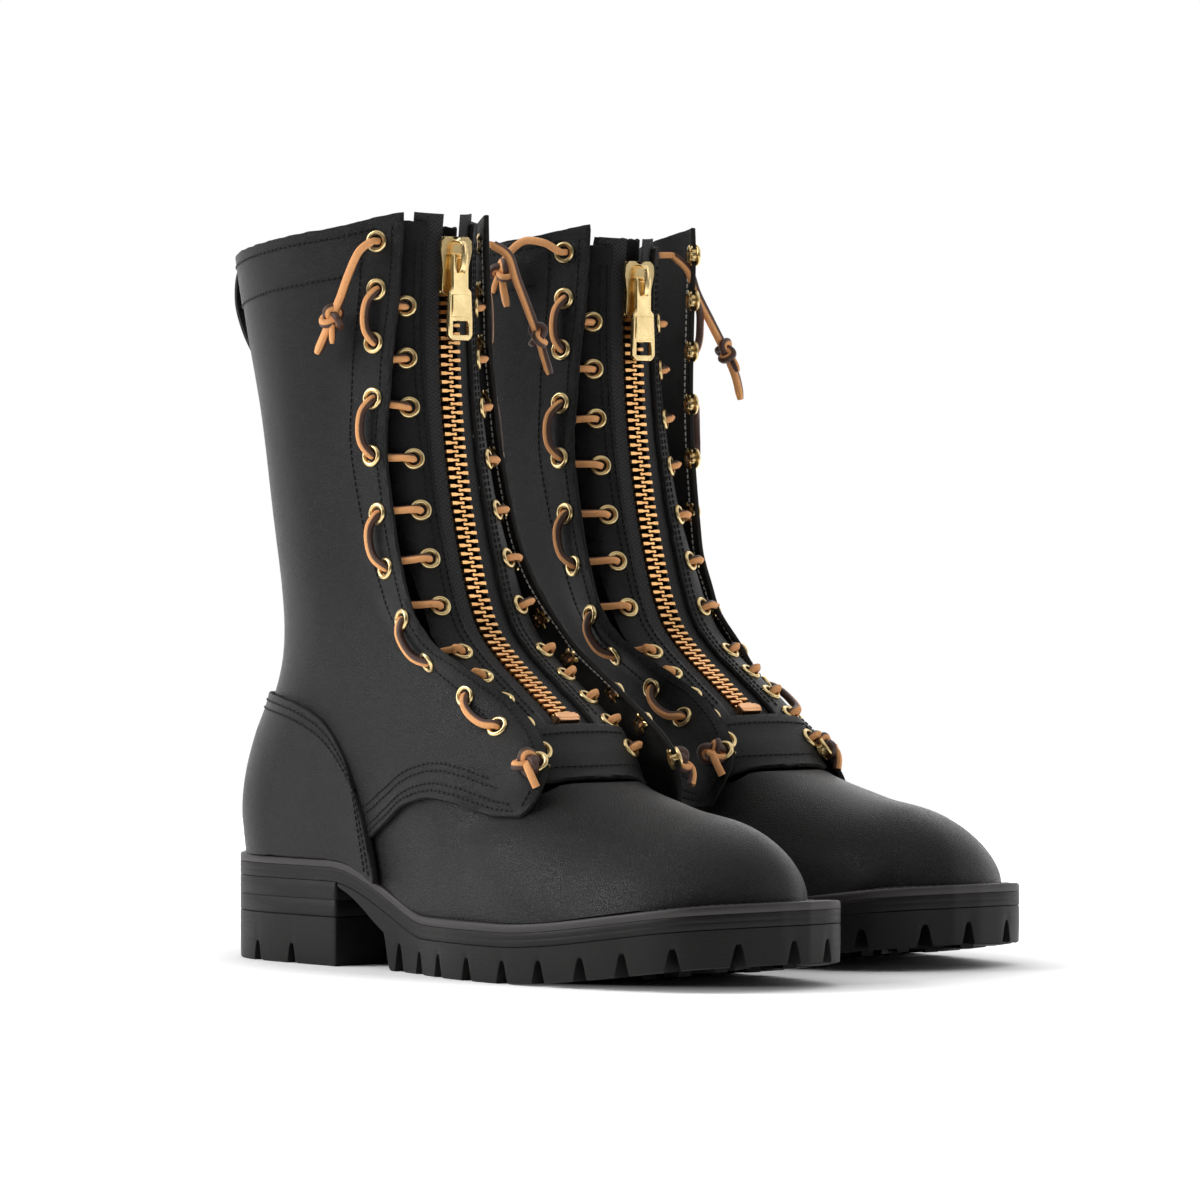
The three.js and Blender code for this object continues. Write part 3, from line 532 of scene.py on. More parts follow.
@dataclass(frozen=True)
class Brass(Finish):
    """Polished brass that has dulled a little."""

    tint: tuple[float, float, float, float] = (0.80, 0.54, 0.22, 1.0)
    gloss: float = 0.22

    def write(self, nodes: NodeWriter) -> None:
        """Writes a metal with faint handling marks."""
        marks = nodes.noise(150, 3)
        r, g, b, _ = self.tint
        nodes.surface({
            "Base Color": nodes.blend(nodes.ramp(marks, 0.35, 0.75), self.tint,
                                      rgba(r * 0.84, g * 0.8, b * 0.74)),
            "Metallic": 1.0,
            "Roughness": self.gloss + marks * 0.1,
            "Normal": nodes.bump(nodes.noise(900, 2), 0.00002, 0.15),
        })


@dataclass(frozen=True)
class Lace(Finish):
    """Cut hide lace: dark grain side, and bare fibrous flesh on its cut sides."""

    def write(self, nodes: NodeWriter) -> None:
        """Writes the two tones round the lace and the fibres along it."""
        around, along = nodes.strip_place()
        where = nodes.add("ShaderNodeCombineXYZ", {}, {0: around * 9, 1: along * 60}).outputs[0]
        fibre = nodes.noise(16, 4, where, 0.7)
        fine = nodes.noise(1500, 3, rough=0.7)
        flesh = nodes.blend(nodes.ramp(fibre, 0.3, 0.7), rgba(0.58, 0.23, 0.075), rgba(0.95, 0.49, 0.2))
        grain = nodes.blend(fine, rgba(0.028, 0.0105, 0.007), rgba(0.085, 0.034, 0.02))
        edge = nodes.ramp(((around + (fibre - 0.5) * 0.03).fraction() - 0.5).size(), 0.24, 0.275)
        colour = nodes.add("ShaderNodeMix", {"data_type": "RGBA"}, {0: edge, 6: grain, 7: flesh}).outputs[2]
        nodes.surface({
            "Base Color": colour,
            "Roughness": 0.5 + edge * 0.32,
            "Normal": nodes.bump(fibre * 0.6 + fine * 0.6, 0.00025, 0.6),
        })


@dataclass(frozen=True)
class Thread(Finish):
    """Waxed thread, twisted."""

    tint: tuple[float, float, float, float] = (0.0018, 0.0018, 0.002, 1.0)

    def write(self, nodes: NodeWriter) -> None:
        """Writes a plain thread with a fine twist."""
        r, g, b, _ = self.tint
        nodes.surface({
            "Base Color": nodes.blend(nodes.noise(2500, 2), self.tint, rgba(r * 0.6, g * 0.6, b * 0.6)),
            "Roughness": 0.62,
            "Specular IOR Level": 0.25,
            "Normal": nodes.bump(nodes.noise(4000, 2), 0.0001, 0.4),
        })


@dataclass(frozen=True)
class Tape(Finish):
    """Black zip tape in a herringbone weave."""

    def write(self, nodes: NodeWriter) -> None:
        """Writes the weave's slanting ribs, which turn back at each column."""
        across, along = nodes.strip_place()
        column = (across * 330).fraction() - 0.5
        rib = ((along * 620 + column.size() * 2.2) * (2 * math.pi)).sine() * 0.5 + 0.5
        thread = ((across * 2600) * (2 * math.pi)).sine() * 0.5 + 0.5
        height = rib * 0.8 + thread * 0.2
        nodes.surface({
            "Base Color": nodes.blend(height, rgba(0.0015, 0.0015, 0.0018), rgba(0.026, 0.026, 0.029)),
            "Roughness": 0.86 - height * 0.12,
            "Normal": nodes.bump(height, 0.00025, 0.7),
        })


@dataclass(frozen=True)
class BareHide(Finish):
    """Undyed inner leather and fibreboard."""

    tint: tuple[float, float, float, float] = (0.2, 0.11, 0.055, 1.0)

    def write(self, nodes: NodeWriter) -> None:
        """Writes a matte fibrous face."""
        r, g, b, _ = self.tint
        fibre = nodes.noise(700, 5, rough=0.7)
        nodes.surface({
            "Base Color": nodes.blend(fibre, rgba(r * 0.6, g * 0.55, b * 0.5), self.tint),
            "Roughness": 0.82,
            "Normal": nodes.bump(fibre, 0.0003, 0.5),
        })


@dataclass(frozen=True)
class Steel(Finish):
    """Plain spring steel."""

    def write(self, nodes: NodeWriter) -> None:
        """Writes a brushed grey metal."""
        nodes.surface({
            "Base Color": nodes.blend(nodes.noise(300), rgba(0.26, 0.27, 0.28), rgba(0.36, 0.37, 0.38)),
            "Metallic": 1.0, "Roughness": 0.38})


@dataclass(frozen=True)
class PaleFloor(Finish):
    """Plain white studio paper, which glows as painted light away from the boots."""

    def write(self, nodes: NodeWriter) -> None:
        """Writes an even white, which glows a little away from the boots as painted light, and not near them,
        which leaves a painted soft shadow round them.
        """
        apart = nodes.add("ShaderNodeSeparateXYZ", {}, {0: nodes.place()})
        x, y = Value(nodes, apart.outputs[0]), Value(nodes, apart.outputs[1])
        # painted glow mask: 0 near the boots, rising to 1 away from them
        away = nodes.ramp((x * (1 / 0.19)) ** 2 + (y * (1 / 0.14)) ** 2, 0.8, 1.7)
        paper = nodes.blend(nodes.noise(3), rgba(0.93, 0.93, 0.93), rgba(0.95, 0.95, 0.95))
        # the emission paints light on the floor away from the boots; its absence near them paints a soft
        # shadow round them
        nodes.surface({"Base Color": paper,
                       "Roughness": 0.9, "Specular IOR Level": 0.0, "Emission Strength": 0.6,
                       "Emission Color": nodes.blend(away, rgba(0.0, 0.0, 0.0), rgba(1.0, 1.0, 1.0))})


UPPER = OiledLeather("oiled_leather", "leather", 0.44, 0.5)
TOE_LEATHER = OiledLeather("vamp_leather", "leather", 0.37, 0.28)
SUEDE = OiledLeather("flesh_side", "leather", 0.8, 1.0)
WELT = OiledLeather("welt_leather", "welt_leather", 0.62, 0.8)
SOLE = Rubber("ground_rubber", "rubber", 1.0)
EYELET_BRASS = Brass("eyelet_brass", "brass", (0.78, 0.6, 0.3, 1.0), 0.24)
TEETH_BRASS = Brass("teeth_brass", "brass", (0.82, 0.46, 0.19, 1.0), 0.26)
SLIDER_BRASS = Brass("slider_brass", "brass", (0.9, 0.7, 0.36, 1.0), 0.2)
STOP_BRASS = Brass("stop_brass", "brass", (0.85, 0.47, 0.25, 1.0), 0.3)
LACE = Lace("hide_lace", "lace_leather")
THREAD = Thread("black_thread", "leather")
PALE_THREAD = Thread("white_thread", "zip_tape", (0.62, 0.6, 0.56, 1.0))
TAPE = Tape("zip_weave", "zip_tape")
BOARD = BareHide("bare_hide", "lining_leather")
SHANK = Steel("shank_steel", "spring_steel")
# painted shade: the near-black finish of the plugs set inside the eyelets, standing in for the shade seen
# through them
EYELET_SHADE = Thread("eyelet_shadow", "leather", (0.001, 0.001, 0.001, 1.0))


# ---- Meshes -------------------------------------------------------------------------------------
@dataclass
class Raw:
    """A mesh in the making, in one boot's own frame in millimetres."""

    points: list = field(default_factory=list)
    faces: list = field(default_factory=list)
    raw: list = field(default_factory=list)
    uv: list = field(default_factory=list)

    def add(self, points: Array, faces: Array, raw: object = 0.0, uv: Array | None = None) -> None:
        """Adds a patch of mesh.

        Args:
            points: N points.
            faces: faces of three or four numbers each.
            raw: how much each point is a cut, fibrous edge: one number, or one for each point.
            uv: coordinates across and along, one pair for each point.
        """
        start = sum(len(p) for p in self.points)
        self.points.append(np.array(points, float).reshape(-1, 3))
        count = len(self.points[-1])
        self.faces.extend([tuple(int(i) + start for i in f) for f in faces])
        self.raw.append(np.broadcast_to(np.asarray(raw, float).ravel(), (count,)))
        self.uv.append(np.zeros((count, 2)) if uv is None else np.array(uv, float).reshape(-1, 2))

    def build(self, name: str, foot: Foot, finish: Finish, body: str = "", sharp: float = 40.0,
              replaces: Sequence[str] = ()) -> bpy.types.Object:
        """Makes the piece in the row frame, in its finish, on its body.

        Args:
            name: the piece's name, after the boot's.
            foot: which boot it is part of.
            finish: the finish it is made in.
            body: the body it rides on; the boot's own by default.
            sharp: edges that turn by more than this many degrees stay crisp.
            replaces: frame nodes that it takes the place of, named after the boot's label.

        Returns:
            The piece.
        """
        points = foot.to_row(np.concatenate(self.points))
        faces = [f[::-1] for f in self.faces] if foot is Foot.LEFT else self.faces
        mesh = bpy.data.meshes.new(f"{foot.label}_{name}")
        mesh.from_pydata(points.tolist(), [], faces)
        mesh.attributes.new("raw", "FLOAT", "POINT").data.foreach_set(
            "value", np.concatenate(self.raw).astype(np.float32))
        corners = np.empty(len(mesh.loops), np.int32)
        mesh.loops.foreach_get("vertex_index", corners)
        mesh.uv_layers.new(name="strip").data.foreach_set(
            "uv", np.concatenate(self.uv)[corners].astype(np.float32).ravel())
        mesh.materials.append(finish.material())
        mesh.validate()
        mesh.shade_smooth()
        mesh.set_sharp_from_angle(angle=math.radians(sharp))
        piece = bpy.data.objects.new(mesh.name, mesh)
        bpy.context.scene.collection.objects.link(piece)
        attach(piece, body or foot.body)
        if replaces:
            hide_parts(*[f"{foot.label}_{node}" for node in replaces])
        return piece


def grid_faces(rows: int, columns: int, turn: bool = False, closed: bool = False) -> list:
    """Quads of a grid of rows by columns points, the other way round if turned."""
    out = []
    for r in range(rows - 1):
        for c in range(columns if closed else columns - 1):
            d = (c + 1) % columns
            quad = (r * columns + c, r * columns + d, (r + 1) * columns + d, (r + 1) * columns + c)
            out.append(quad[::-1] if turn else quad)
    return out


def grid_normals(grid: Array, towards: Array) -> Array:
    """Unit normals of a grid of points, on the side that faces a direction."""
    up = np.gradient(grid, axis=0)
    over = np.gradient(grid, axis=1)
    normal = unit(np.cross(over, up))
    flip = (normal * towards).sum(-1, keepdims=True) < 0
    return np.where(flip, -normal, normal)


def border(rows: int, columns: int) -> tuple[list, list]:
    """The border of a grid in order, and each border point's neighbour inside it."""
    ring = [(0, c) for c in range(columns)] + [(r, columns - 1) for r in range(1, rows)]
    ring += [(rows - 1, c) for c in range(columns - 2, -1, -1)] + [(r, 0) for r in range(rows - 2, 0, -1)]
    inner = [(min(max(r, 1), rows - 2), min(max(c, 1), columns - 2)) for r, c in ring]
    return ring, inner


def hide(raw: Raw, grid: Array, normals: Array, low: float, high: Array, jitter: float = 0.25,
         seed: int = 1, round_edge: float = 0.45, raw_edge: float = 1.0) -> None:
    """Adds a sheet of leather: two faces and a rounded, slightly ragged rim.

    Args:
        raw: the mesh it is added to.
        grid: points of the reference surface, rows by columns.
        normals: their outward normals.
        low: the inner face's distance from the surface.
        high: the outer face's distance, one number or one for each point.
        jitter: how ragged the rim is.
        seed: which raggedness.
        round_edge: how far the rim bulges.
        raw_edge: how fibrous the rim looks.
    """
    rows, columns = grid.shape[:2]
    high = np.broadcast_to(np.asarray(high, float), (rows, columns))[..., None]
    outer, inner = grid + normals * high, grid + normals * low
    ring, inside = border(rows, columns)
    ri, ci = np.array(ring).T
    ii, ji = np.array(inside).T
    out = unit(grid[ri, ci] - grid[ii, ji])
    rng = np.random.default_rng(seed)
    noise = np.convolve(rng.normal(0, 1, len(ring) + 2), [0.25, 0.5, 0.25], "valid") * jitter
    count = len(ring)
    levels = []
    for share, bulge in ((0.86, 0.7), (0.5, 1.0), (0.14, 0.7)):
        level = inner[ri, ci] * (1 - share) + outer[ri, ci] * share
        wobble = noise * (0.6 + 0.4 * share) + rng.normal(0, jitter * 0.35, count)
        levels.append(level + out * (round_edge * bulge + wobble)[:, None])
    n = rows * columns
    points = np.concatenate([outer.reshape(-1, 3), inner.reshape(-1, 3)] + levels)
    amount = np.concatenate([np.zeros(n), np.full(n, 0.35), np.full(3 * count, raw_edge)])
    towards = np.cross(grid[0, 1] - grid[0, 0], grid[1, 0] - grid[0, 0])
    turn = float((towards * normals[0, 0]).sum()) < 0
    faces = grid_faces(rows, columns, turn)
    faces += [tuple(i + n for i in f) for f in grid_faces(rows, columns, not turn)]
    flat = ri * columns + ci
    chain = [flat, 2 * n + np.arange(count), 2 * n + count + np.arange(count),
             2 * n + 2 * count + np.arange(count), n + flat]
    for a, b in zip(chain, chain[1:]):
        for k in range(count):
            m = (k + 1) % count
            quad = (a[k], b[k], b[m], a[m])
            faces.append(quad[::-1] if turn else quad)
    raw.add(points, faces, amount)


def frames_along(line: Array, hint: Array | None = None) -> tuple[Array, Array, Array]:
    """Directions along a line, and two directions across it that don't twist.

    Args:
        line: the points.
        hint: the first across direction that is wanted.

    Returns:
        Unit vectors along, and the two unit vectors across, at each point.
    """
    ahead = unit(np.gradient(line, axis=0))
    first = np.array([0.0, 0.0, 1.0]) if hint is None else np.array(hint, float)
    side = []
    for direction in ahead:
        first = first - direction * float(first @ direction)
        if np.linalg.norm(first) < 1e-3:
            first = np.cross(direction, [0.31, 0.55, 0.77])
        first = first / np.linalg.norm(first)
        side.append(first)
    side = np.array(side)
    return ahead, side, np.cross(ahead, side)


def sweep(raw: Raw, line: Array, section: Array, hint: Array | None = None, scale: Array | None = None,
          ends: bool = True, twist: Array | None = None) -> None:
    """Adds a section drawn along a line, with UV across in parts of its girth and along in metres.

    Args:
        raw: the mesh it is added to.
        line: the points it follows.
        section: the closed section's points, in the two directions across the line.
        hint: the section's first direction at the start.
        scale: the section's size at each point.
        ends: whether both ends are closed.
        twist: how far the section is turned at each point, in radians.
    """
    line = np.array(line, float)
    _, a, b = frames_along(line, hint)
    if twist is not None:
        c, s = np.cos(twist)[:, None], np.sin(twist)[:, None]
        a, b = a * c + b * s, b * c - a * s
    size = np.ones(len(line)) if scale is None else np.asarray(scale, float)
    k = len(section)
    loop = np.concatenate([section, section[:1]])
    around = a[:, None] * loop[None, :, :1] + b[:, None] * loop[None, :, 1:]
    points = line[:, None] + around * size[:, None, None]
    run = np.concatenate([[0], np.cumsum(np.linalg.norm(np.diff(line, axis=0), axis=1))]) * MM
    u = np.linspace(0, 1, k + 1)
    uv = np.stack(np.broadcast_arrays(u[None, :], run[:, None]), -1)
    rows = len(line)
    faces = grid_faces(rows, k + 1, turn=True)
    if ends:
        faces.append(tuple(range(k)))
        faces.append(tuple((rows - 1) * (k + 1) + i for i in range(k - 1, -1, -1)))
    x, y = section[:, 0], section[:, 1]
    if float(np.sum(x * np.roll(y, -1) - np.roll(x, -1) * y)) < 0:
        faces = [f[::-1] for f in faces]
    raw.add(points, faces, 0.0, uv)


def oval(width: float, height: float, power: float, count: int) -> Array:
    """A rounded rectangle section: an oval with a power over 2."""
    t = np.arange(count) / count * 2 * math.pi
    c, s = np.cos(t), np.sin(t)
    return np.stack([np.sign(c) * np.abs(c) ** (2 / power) * width / 2,
                     np.sign(s) * np.abs(s) ** (2 / power) * height / 2], 1)


def revolve(raw: Raw, centre: Array, axis: Array, profile: Sequence[Sequence[float]],
            count: int = 28) -> None:
    """Adds a ring turned round an axis.

    Args:
        raw: the mesh it is added to.
        centre: the axis's origin.
        axis: its direction.
        profile: closed (radius, height) points, anticlockwise with the radius to the right.
        count: how many steps round.
    """
    axis = unit(np.array(axis, float))
    a = unit(np.cross(axis, [0.123, 0.456, 0.88]))
    b = np.cross(axis, a)
    t = np.arange(count) / count * 2 * math.pi
    p = np.array(profile, float)
    ring = a[None] * np.cos(t)[:, None] + b[None] * np.sin(t)[:, None]
    radius, height = p[:, 0][:, None, None], p[:, 1][:, None, None]
    points = np.array(centre)[None, None] + ring[None] * radius + axis[None, None] * height
    k = len(p)
    faces = []
    for i in range(k):
        j = (i + 1) % k
        for m in range(count):
            n = (m + 1) % count
            faces.append((i * count + m, i * count + n, j * count + n, j * count + m))
    raw.add(points, faces, 0.0)


def block(raw: Raw, corners: Array) -> None:
    """Adds a solid with six faces from its bottom four corners and its top four, both anticlockwise."""
    raw.add(corners, [(3, 2, 1, 0), (4, 5, 6, 7), (0, 1, 5, 4), (1, 2, 6, 5), (2, 3, 7, 6), (3, 0, 4, 7)])


def bevelled(piece: bpy.types.Object, width: float, segments: int = 2, angle: float = 35.0) -> None:
    """Rounds a piece's crisp edges by a width in millimetres."""
    made = piece.modifiers.new("rounded", "BEVEL")
    made.width, made.segments = width * MM, segments
    made.limit_method, made.angle_limit = "ANGLE", math.radians(angle)
    made.harden_normals = False


@dataclass
class Stitches:
    """A row of thread: short raised capsules that dip at both ends."""

    length: float = 2.0
    pitch: float = 2.55
    width: float = 0.78

    def sew(self, raw: Raw, line: Array, normals: Array, start: float = 1.0) -> None:
        """Adds stitches along a line on the leather.

        Args:
            raw: the mesh they are added to.
            line: points on the leather's face.
            normals: the face's normals at them.
            start: where the first stitch starts.
        """
        both = np.concatenate([line, normals], 1)
        at, _ = even_pair(both, self.pitch, start)
        section = oval(self.width, self.width * 0.8, 2.0, 6)
        for k in range(len(at) - 1):
            a, n = at[k, :3], unit(at[k, 3:])
            ahead = unit(at[k + 1, :3] - a)
            s = np.array([-0.5, -0.3, 0.3, 0.5])
            rise = np.array([-0.22, 0.16, 0.16, -0.22])
            path = a + ahead * (s * self.length)[:, None] + n * rise[:, None]
            sweep(raw, path, section, hint=np.cross(ahead, n), scale=np.array([0.6, 1, 1, 0.6]))


def even_pair(line: Array, spacing: float, start: float) -> tuple[Array, Array]:
    """Evenly spaced rows of a table whose first three columns are places."""
    step = np.linalg.norm(np.diff(line[:, :3], axis=0), axis=1)
    run = np.concatenate([[0], np.cumsum(step)])
    at = np.arange(start, run[-1] - start * 0.5, spacing)
    return np.stack([np.interp(at, run, line[:, k]) for k in range(line.shape[1])], 1), at


# ---- The upper ----------------------------------------------------------------------------------
def coons(bottom: Array, top: Array, start: Array, end: Array) -> Array:
    """A patch of the mid-plane between four edges that meet at their ends.

    Args:
        bottom: its lower edge, from back to front.
        top: its upper edge, from back to front.
        start: its back edge, upwards.
        end: its front edge, upwards.

    Returns:
        Rows by columns points.
    """
    rows, columns = len(start), len(bottom)
    v, u = np.linspace(0, 1, rows)[:, None, None], np.linspace(0, 1, columns)[None, :, None]
    across = mix(bottom[None], top[None], v) + mix(start[:, None], end[:, None], u)
    corner = mix(mix(bottom[0], bottom[-1], u), mix(top[0], top[-1], u), v)
    return across - corner


def resample(line: Array, count: int, bias: float = 0.0) -> Array:
    """A line again in count points, closer at its start by a share of a cosine."""
    step = np.linalg.norm(np.diff(line, axis=0), axis=1)
    run = np.concatenate([[0], np.cumsum(step)])
    t = np.linspace(0, 1, count)
    t = (1 - np.cos(t * math.pi / 2)) * bias + t * (1 - bias)
    return np.stack([np.interp(t * run[-1], run, line[:, k]) for k in range(line.shape[1])], 1)


def depth_below_top(face: Array) -> Array:
    """Distance down a sheet from its upper edge, at each of its points."""
    step = np.linalg.norm(np.diff(face[::-1], axis=0, prepend=face[-1:]), axis=2)
    return np.cumsum(step, axis=0)[::-1]


def back_x(z: Array) -> Array:
    """The back line's X at a height."""
    return np.interp(z, FORM.back[:, 1], FORM.back[:, 0])


def topline(x: Array) -> Array:
    """Height of the collar's edge."""
    return 278 + 15 * np.clip((x + 4) / 108, 0, 1) ** 1.1 + 1.6 * smooth(80, 106, x)


@dataclass
class Quarters:
    """The two sides of the shaft, with their collar, their facings and their rows of thread."""

    front: Sequence[Sequence[float]] = (
        (105.6, 294.8), (104, 280), (102.6, 255), (103.6, 225), (107.5, 195),
        (114.5, 168), (124.5, 144), (140, 124.5), (160, 111), (180, 97.5),
        (192, 84), (200, 71), (198.5, 60))
    foot_edge: Sequence[Sequence[float]] = (
        (10.4, 46), (60, 46), (100, 48), (121, 57), (134, 64),
        (150, 67.5), (166, 66), (184, 61), (198.5, 60))
    stand: Sequence[Sequence[float]] = (
        (60, 201, 38), (72, 206, 34.5), (88, 203.5, 31.5), (107, 173, 33.5), (126, 143, 34),
        (146, 126.5, 31.4), (165, 115.8, 30), (184, 110, 29), (204, 105.6, 28), (223, 104.9, 26),
        (242, 104.6, 24), (262, 106, 22), (281, 106.3, 20.8), (296, 106.5, 20.2))
    leaning: Sequence[Sequence[float]] = (
        (60, 201, 38), (73, 206.5, 33.3), (79, 206, 30.8), (87.5, 201, 27.9), (96, 190, 24.6),
        (105, 177, 24.4), (112, 167, 28), (118, 157, 31.2), (126, 143, 34), (136, 133, 35),
        (146, 126, 33.5), (165, 115.8, 30.4), (184, 110, 29), (204, 105.6, 28), (223, 104.9, 26),
        (242, 104.6, 24), (262, 106, 22), (281, 106.3, 20.8), (296, 106.5, 20.2))
    splayed: Sequence[Sequence[float]] = (
        (60, 199, 37), (72, 200, 31), (88, 190, 24.5), (100, 169, 25), (111, 153, 28),
        (123, 140, 30), (136, 128, 29.5), (148, 121, 31), (160, 116, 31), (172, 113.5, 31.3),
        (197, 107, 34), (222, 105, 34.5), (247, 105, 34.8), (281, 106.5, 34.5), (296, 106.5, 34))
    stand_run: float = 34.0
    rows: int = 120
    columns: int = 84
    collar: float = 20.0
    lap: Stitches = field(default_factory=Stitches)

    def region(self) -> Array:
        """The quarter's places in the mid-plane."""
        foot = resample(spline(self.foot_edge, 200), self.columns, 0.7)
        front = resample(spline(self.front, 300)[::-1], self.rows)
        z = np.linspace(46, 278, self.rows)
        start = np.stack([back_x(z), z], 1)
        t = np.linspace(0, 1, self.columns)
        x = mix(back_x(278), 105.8, (1 - np.cos(t * math.pi / 2)) * 0.7 + t * 0.3)
        top = np.stack([x, topline(x)], 1)
        top[-1] = front[-1]
        return coons(foot, top, start, front)

    def creases(self, x: Array, z: Array, side: Side) -> Array:
        """Soft folds of the ankle and the shaft, in millimetres outwards."""
        k = 1.0 if side is Side.LATERAL else 0.7
        ankle = np.exp(-(((z - 150) / 42) ** 2)) * smooth(25, 60, x) * (1 - smooth(95, 125, x))
        waves = np.sin((z + 0.55 * x) / 13.0) * 0.5 + np.sin((z - 0.8 * x) / 19.0 + 1.0) * 0.55
        shaft = np.sin(z / 34 + x / 27) * 0.35 * smooth(150, 220, z)
        return (ankle * waves * 0.5 + shaft * 0.5) * k

    def sheet(self, foot: Foot, side: Side) -> tuple[Array, Array, Array]:
        """A quarter's shape.

        Args:
            foot: which boot it is part of.
            side: the boot's side.

        Returns:
            The inner face's points, the normals, and how far the outer face lies from the inner one.
        """
        region = self.region()
        x, z = region[..., 0], region[..., 1]
        y = side.value * FORM.half_width(x, z, side)
        y[:, 0] = side.value * 0.3
        grid = np.stack([x, y, z], -1)
        towards = np.stack([0.35 * np.sign(x - 60), np.full_like(x, side.value), np.zeros_like(x)], -1)
        gap = mix(LAYER["lap"], LAYER["quarter"], smooth(84, 122, z - 0.12 * np.maximum(0, x - 110)))
        grid = grid + grid_normals(grid, towards) * gap[..., None]
        step = np.linalg.norm(np.diff(grid, axis=1), axis=2)
        to_edge = np.concatenate([np.cumsum(step[:, ::-1], axis=1)[:, ::-1], np.zeros((self.rows, 1))], 1)
        table = {(Foot.LEFT, Side.LATERAL): self.splayed, (Foot.RIGHT, Side.MEDIAL): self.stand}
        stand = spline(table.get((foot, side), self.leaning), 160)
        edge = grid[:, -1]
        want_x = np.interp(edge[:, 2], stand[:, 0], stand[:, 1])
        want_y = np.interp(edge[:, 2], stand[:, 0], stand[:, 2])
        push = np.stack([want_x - edge[:, 0], side.value * (want_y - np.abs(edge[:, 1])), 0 * want_x], 1)
        push = push * smooth(57, 66, edge[:, 2])[:, None]
        share = 1 - smooth(0, self.stand_run, to_edge)
        grid = grid + push[:, None] * (share**1.3)[..., None]
        normals = grid_normals(grid, towards)
        below = topline(x) - z
        band = (1 - smooth(self.collar - 1.2, self.collar + 1.2, below)) * (1 - smooth(88, 93, x))
        thick = LEATHER + 0.5 * band
        grid = grid + normals * self.creases(x, z, side)[..., None]
        return grid, normals, thick

    def build(self, foot: Foot) -> None:
        """Makes both quarters of a boot."""
        for side in Side:
            grid, normals, thick = self.sheet(foot, side)
            mesh = Raw()
            hide(mesh, grid, normals, 0.0, thick, 0.22, seed=3 if side is Side.LATERAL else 4)
            mesh.build(f"{side.label}_quarter", foot, UPPER, replaces=(f"{side.label}_quarter",))
            self.sew(foot, side, grid + normals * thick[..., None], grid, normals)

    def sew(self, foot: Foot, side: Side, face: Array, back: Array, normals: Array) -> None:
        """Sews the facing's rows, the collar's rows, and the pale rows of the inner face."""
        dark, pale = Raw(), Raw()
        rows, columns = face.shape[:2]
        run = np.cumsum(np.linalg.norm(np.diff(face, axis=1, prepend=face[:, :1]), axis=2), axis=1)
        for inset, low, high in ((4.2, 0.02, 0.995), (17.5, 0.16, 0.985)):
            self.sew_beside(dark, face, normals, run, inset, low, high)
        self.sew_beside(pale, back, -normals, run, 3.8, 0.22, 0.99)
        climb = depth_below_top(face)
        last = int(columns * 0.9)
        for inset in (4.0, self.collar):
            line, around = [], []
            for c in range(2, last if inset > 5 else columns - 4):
                r = np.interp(inset, climb[::-1, c], np.arange(rows)[::-1])
                i = min(int(r), rows - 2)
                line.append(mix(face[i, c], face[i + 1, c], r - i))
                around.append(normals[i, c])
            self.lap.sew(dark, np.array(line), np.array(around))
        first = int(columns * 0.5)
        for inset in (2.6, 5.6, 10.6, 13.6):
            line, around = [], []
            for c in range(first, columns - 1 - int(inset / 3)):
                rise = climb[0, c] - climb[:, c]
                r = np.interp(inset, rise, np.arange(rows))
                i = min(int(r), rows - 2)
                line.append(mix(face[i, c], face[i + 1, c], r - i))
                around.append(normals[i, c])
            self.lap.sew(dark, np.array(line), np.array(around))
        dark.build(f"{side.label}_quarter_thread", foot, THREAD)
        pale.build(f"{side.label}_inner_thread", foot, PALE_THREAD)

    def sew_beside(self, mesh: Raw, face: Array, normals: Array, run: Array, inset: float,
                   low: float, high: float) -> None:
        """Sews a row at a distance behind the front edge, between two shares of its height."""
        rows = face.shape[0]
        line, around = [], []
        for r in range(int(rows * low), int(rows * high)):
            c = np.interp(run[r, -1] - inset, run[r], np.arange(face.shape[1]))
            i = min(int(c), face.shape[1] - 2)
            line.append(mix(face[r, i], face[r, i + 1], c - i))
            around.append(normals[r, i])
        self.lap.sew(mesh, np.array(line), np.array(around))


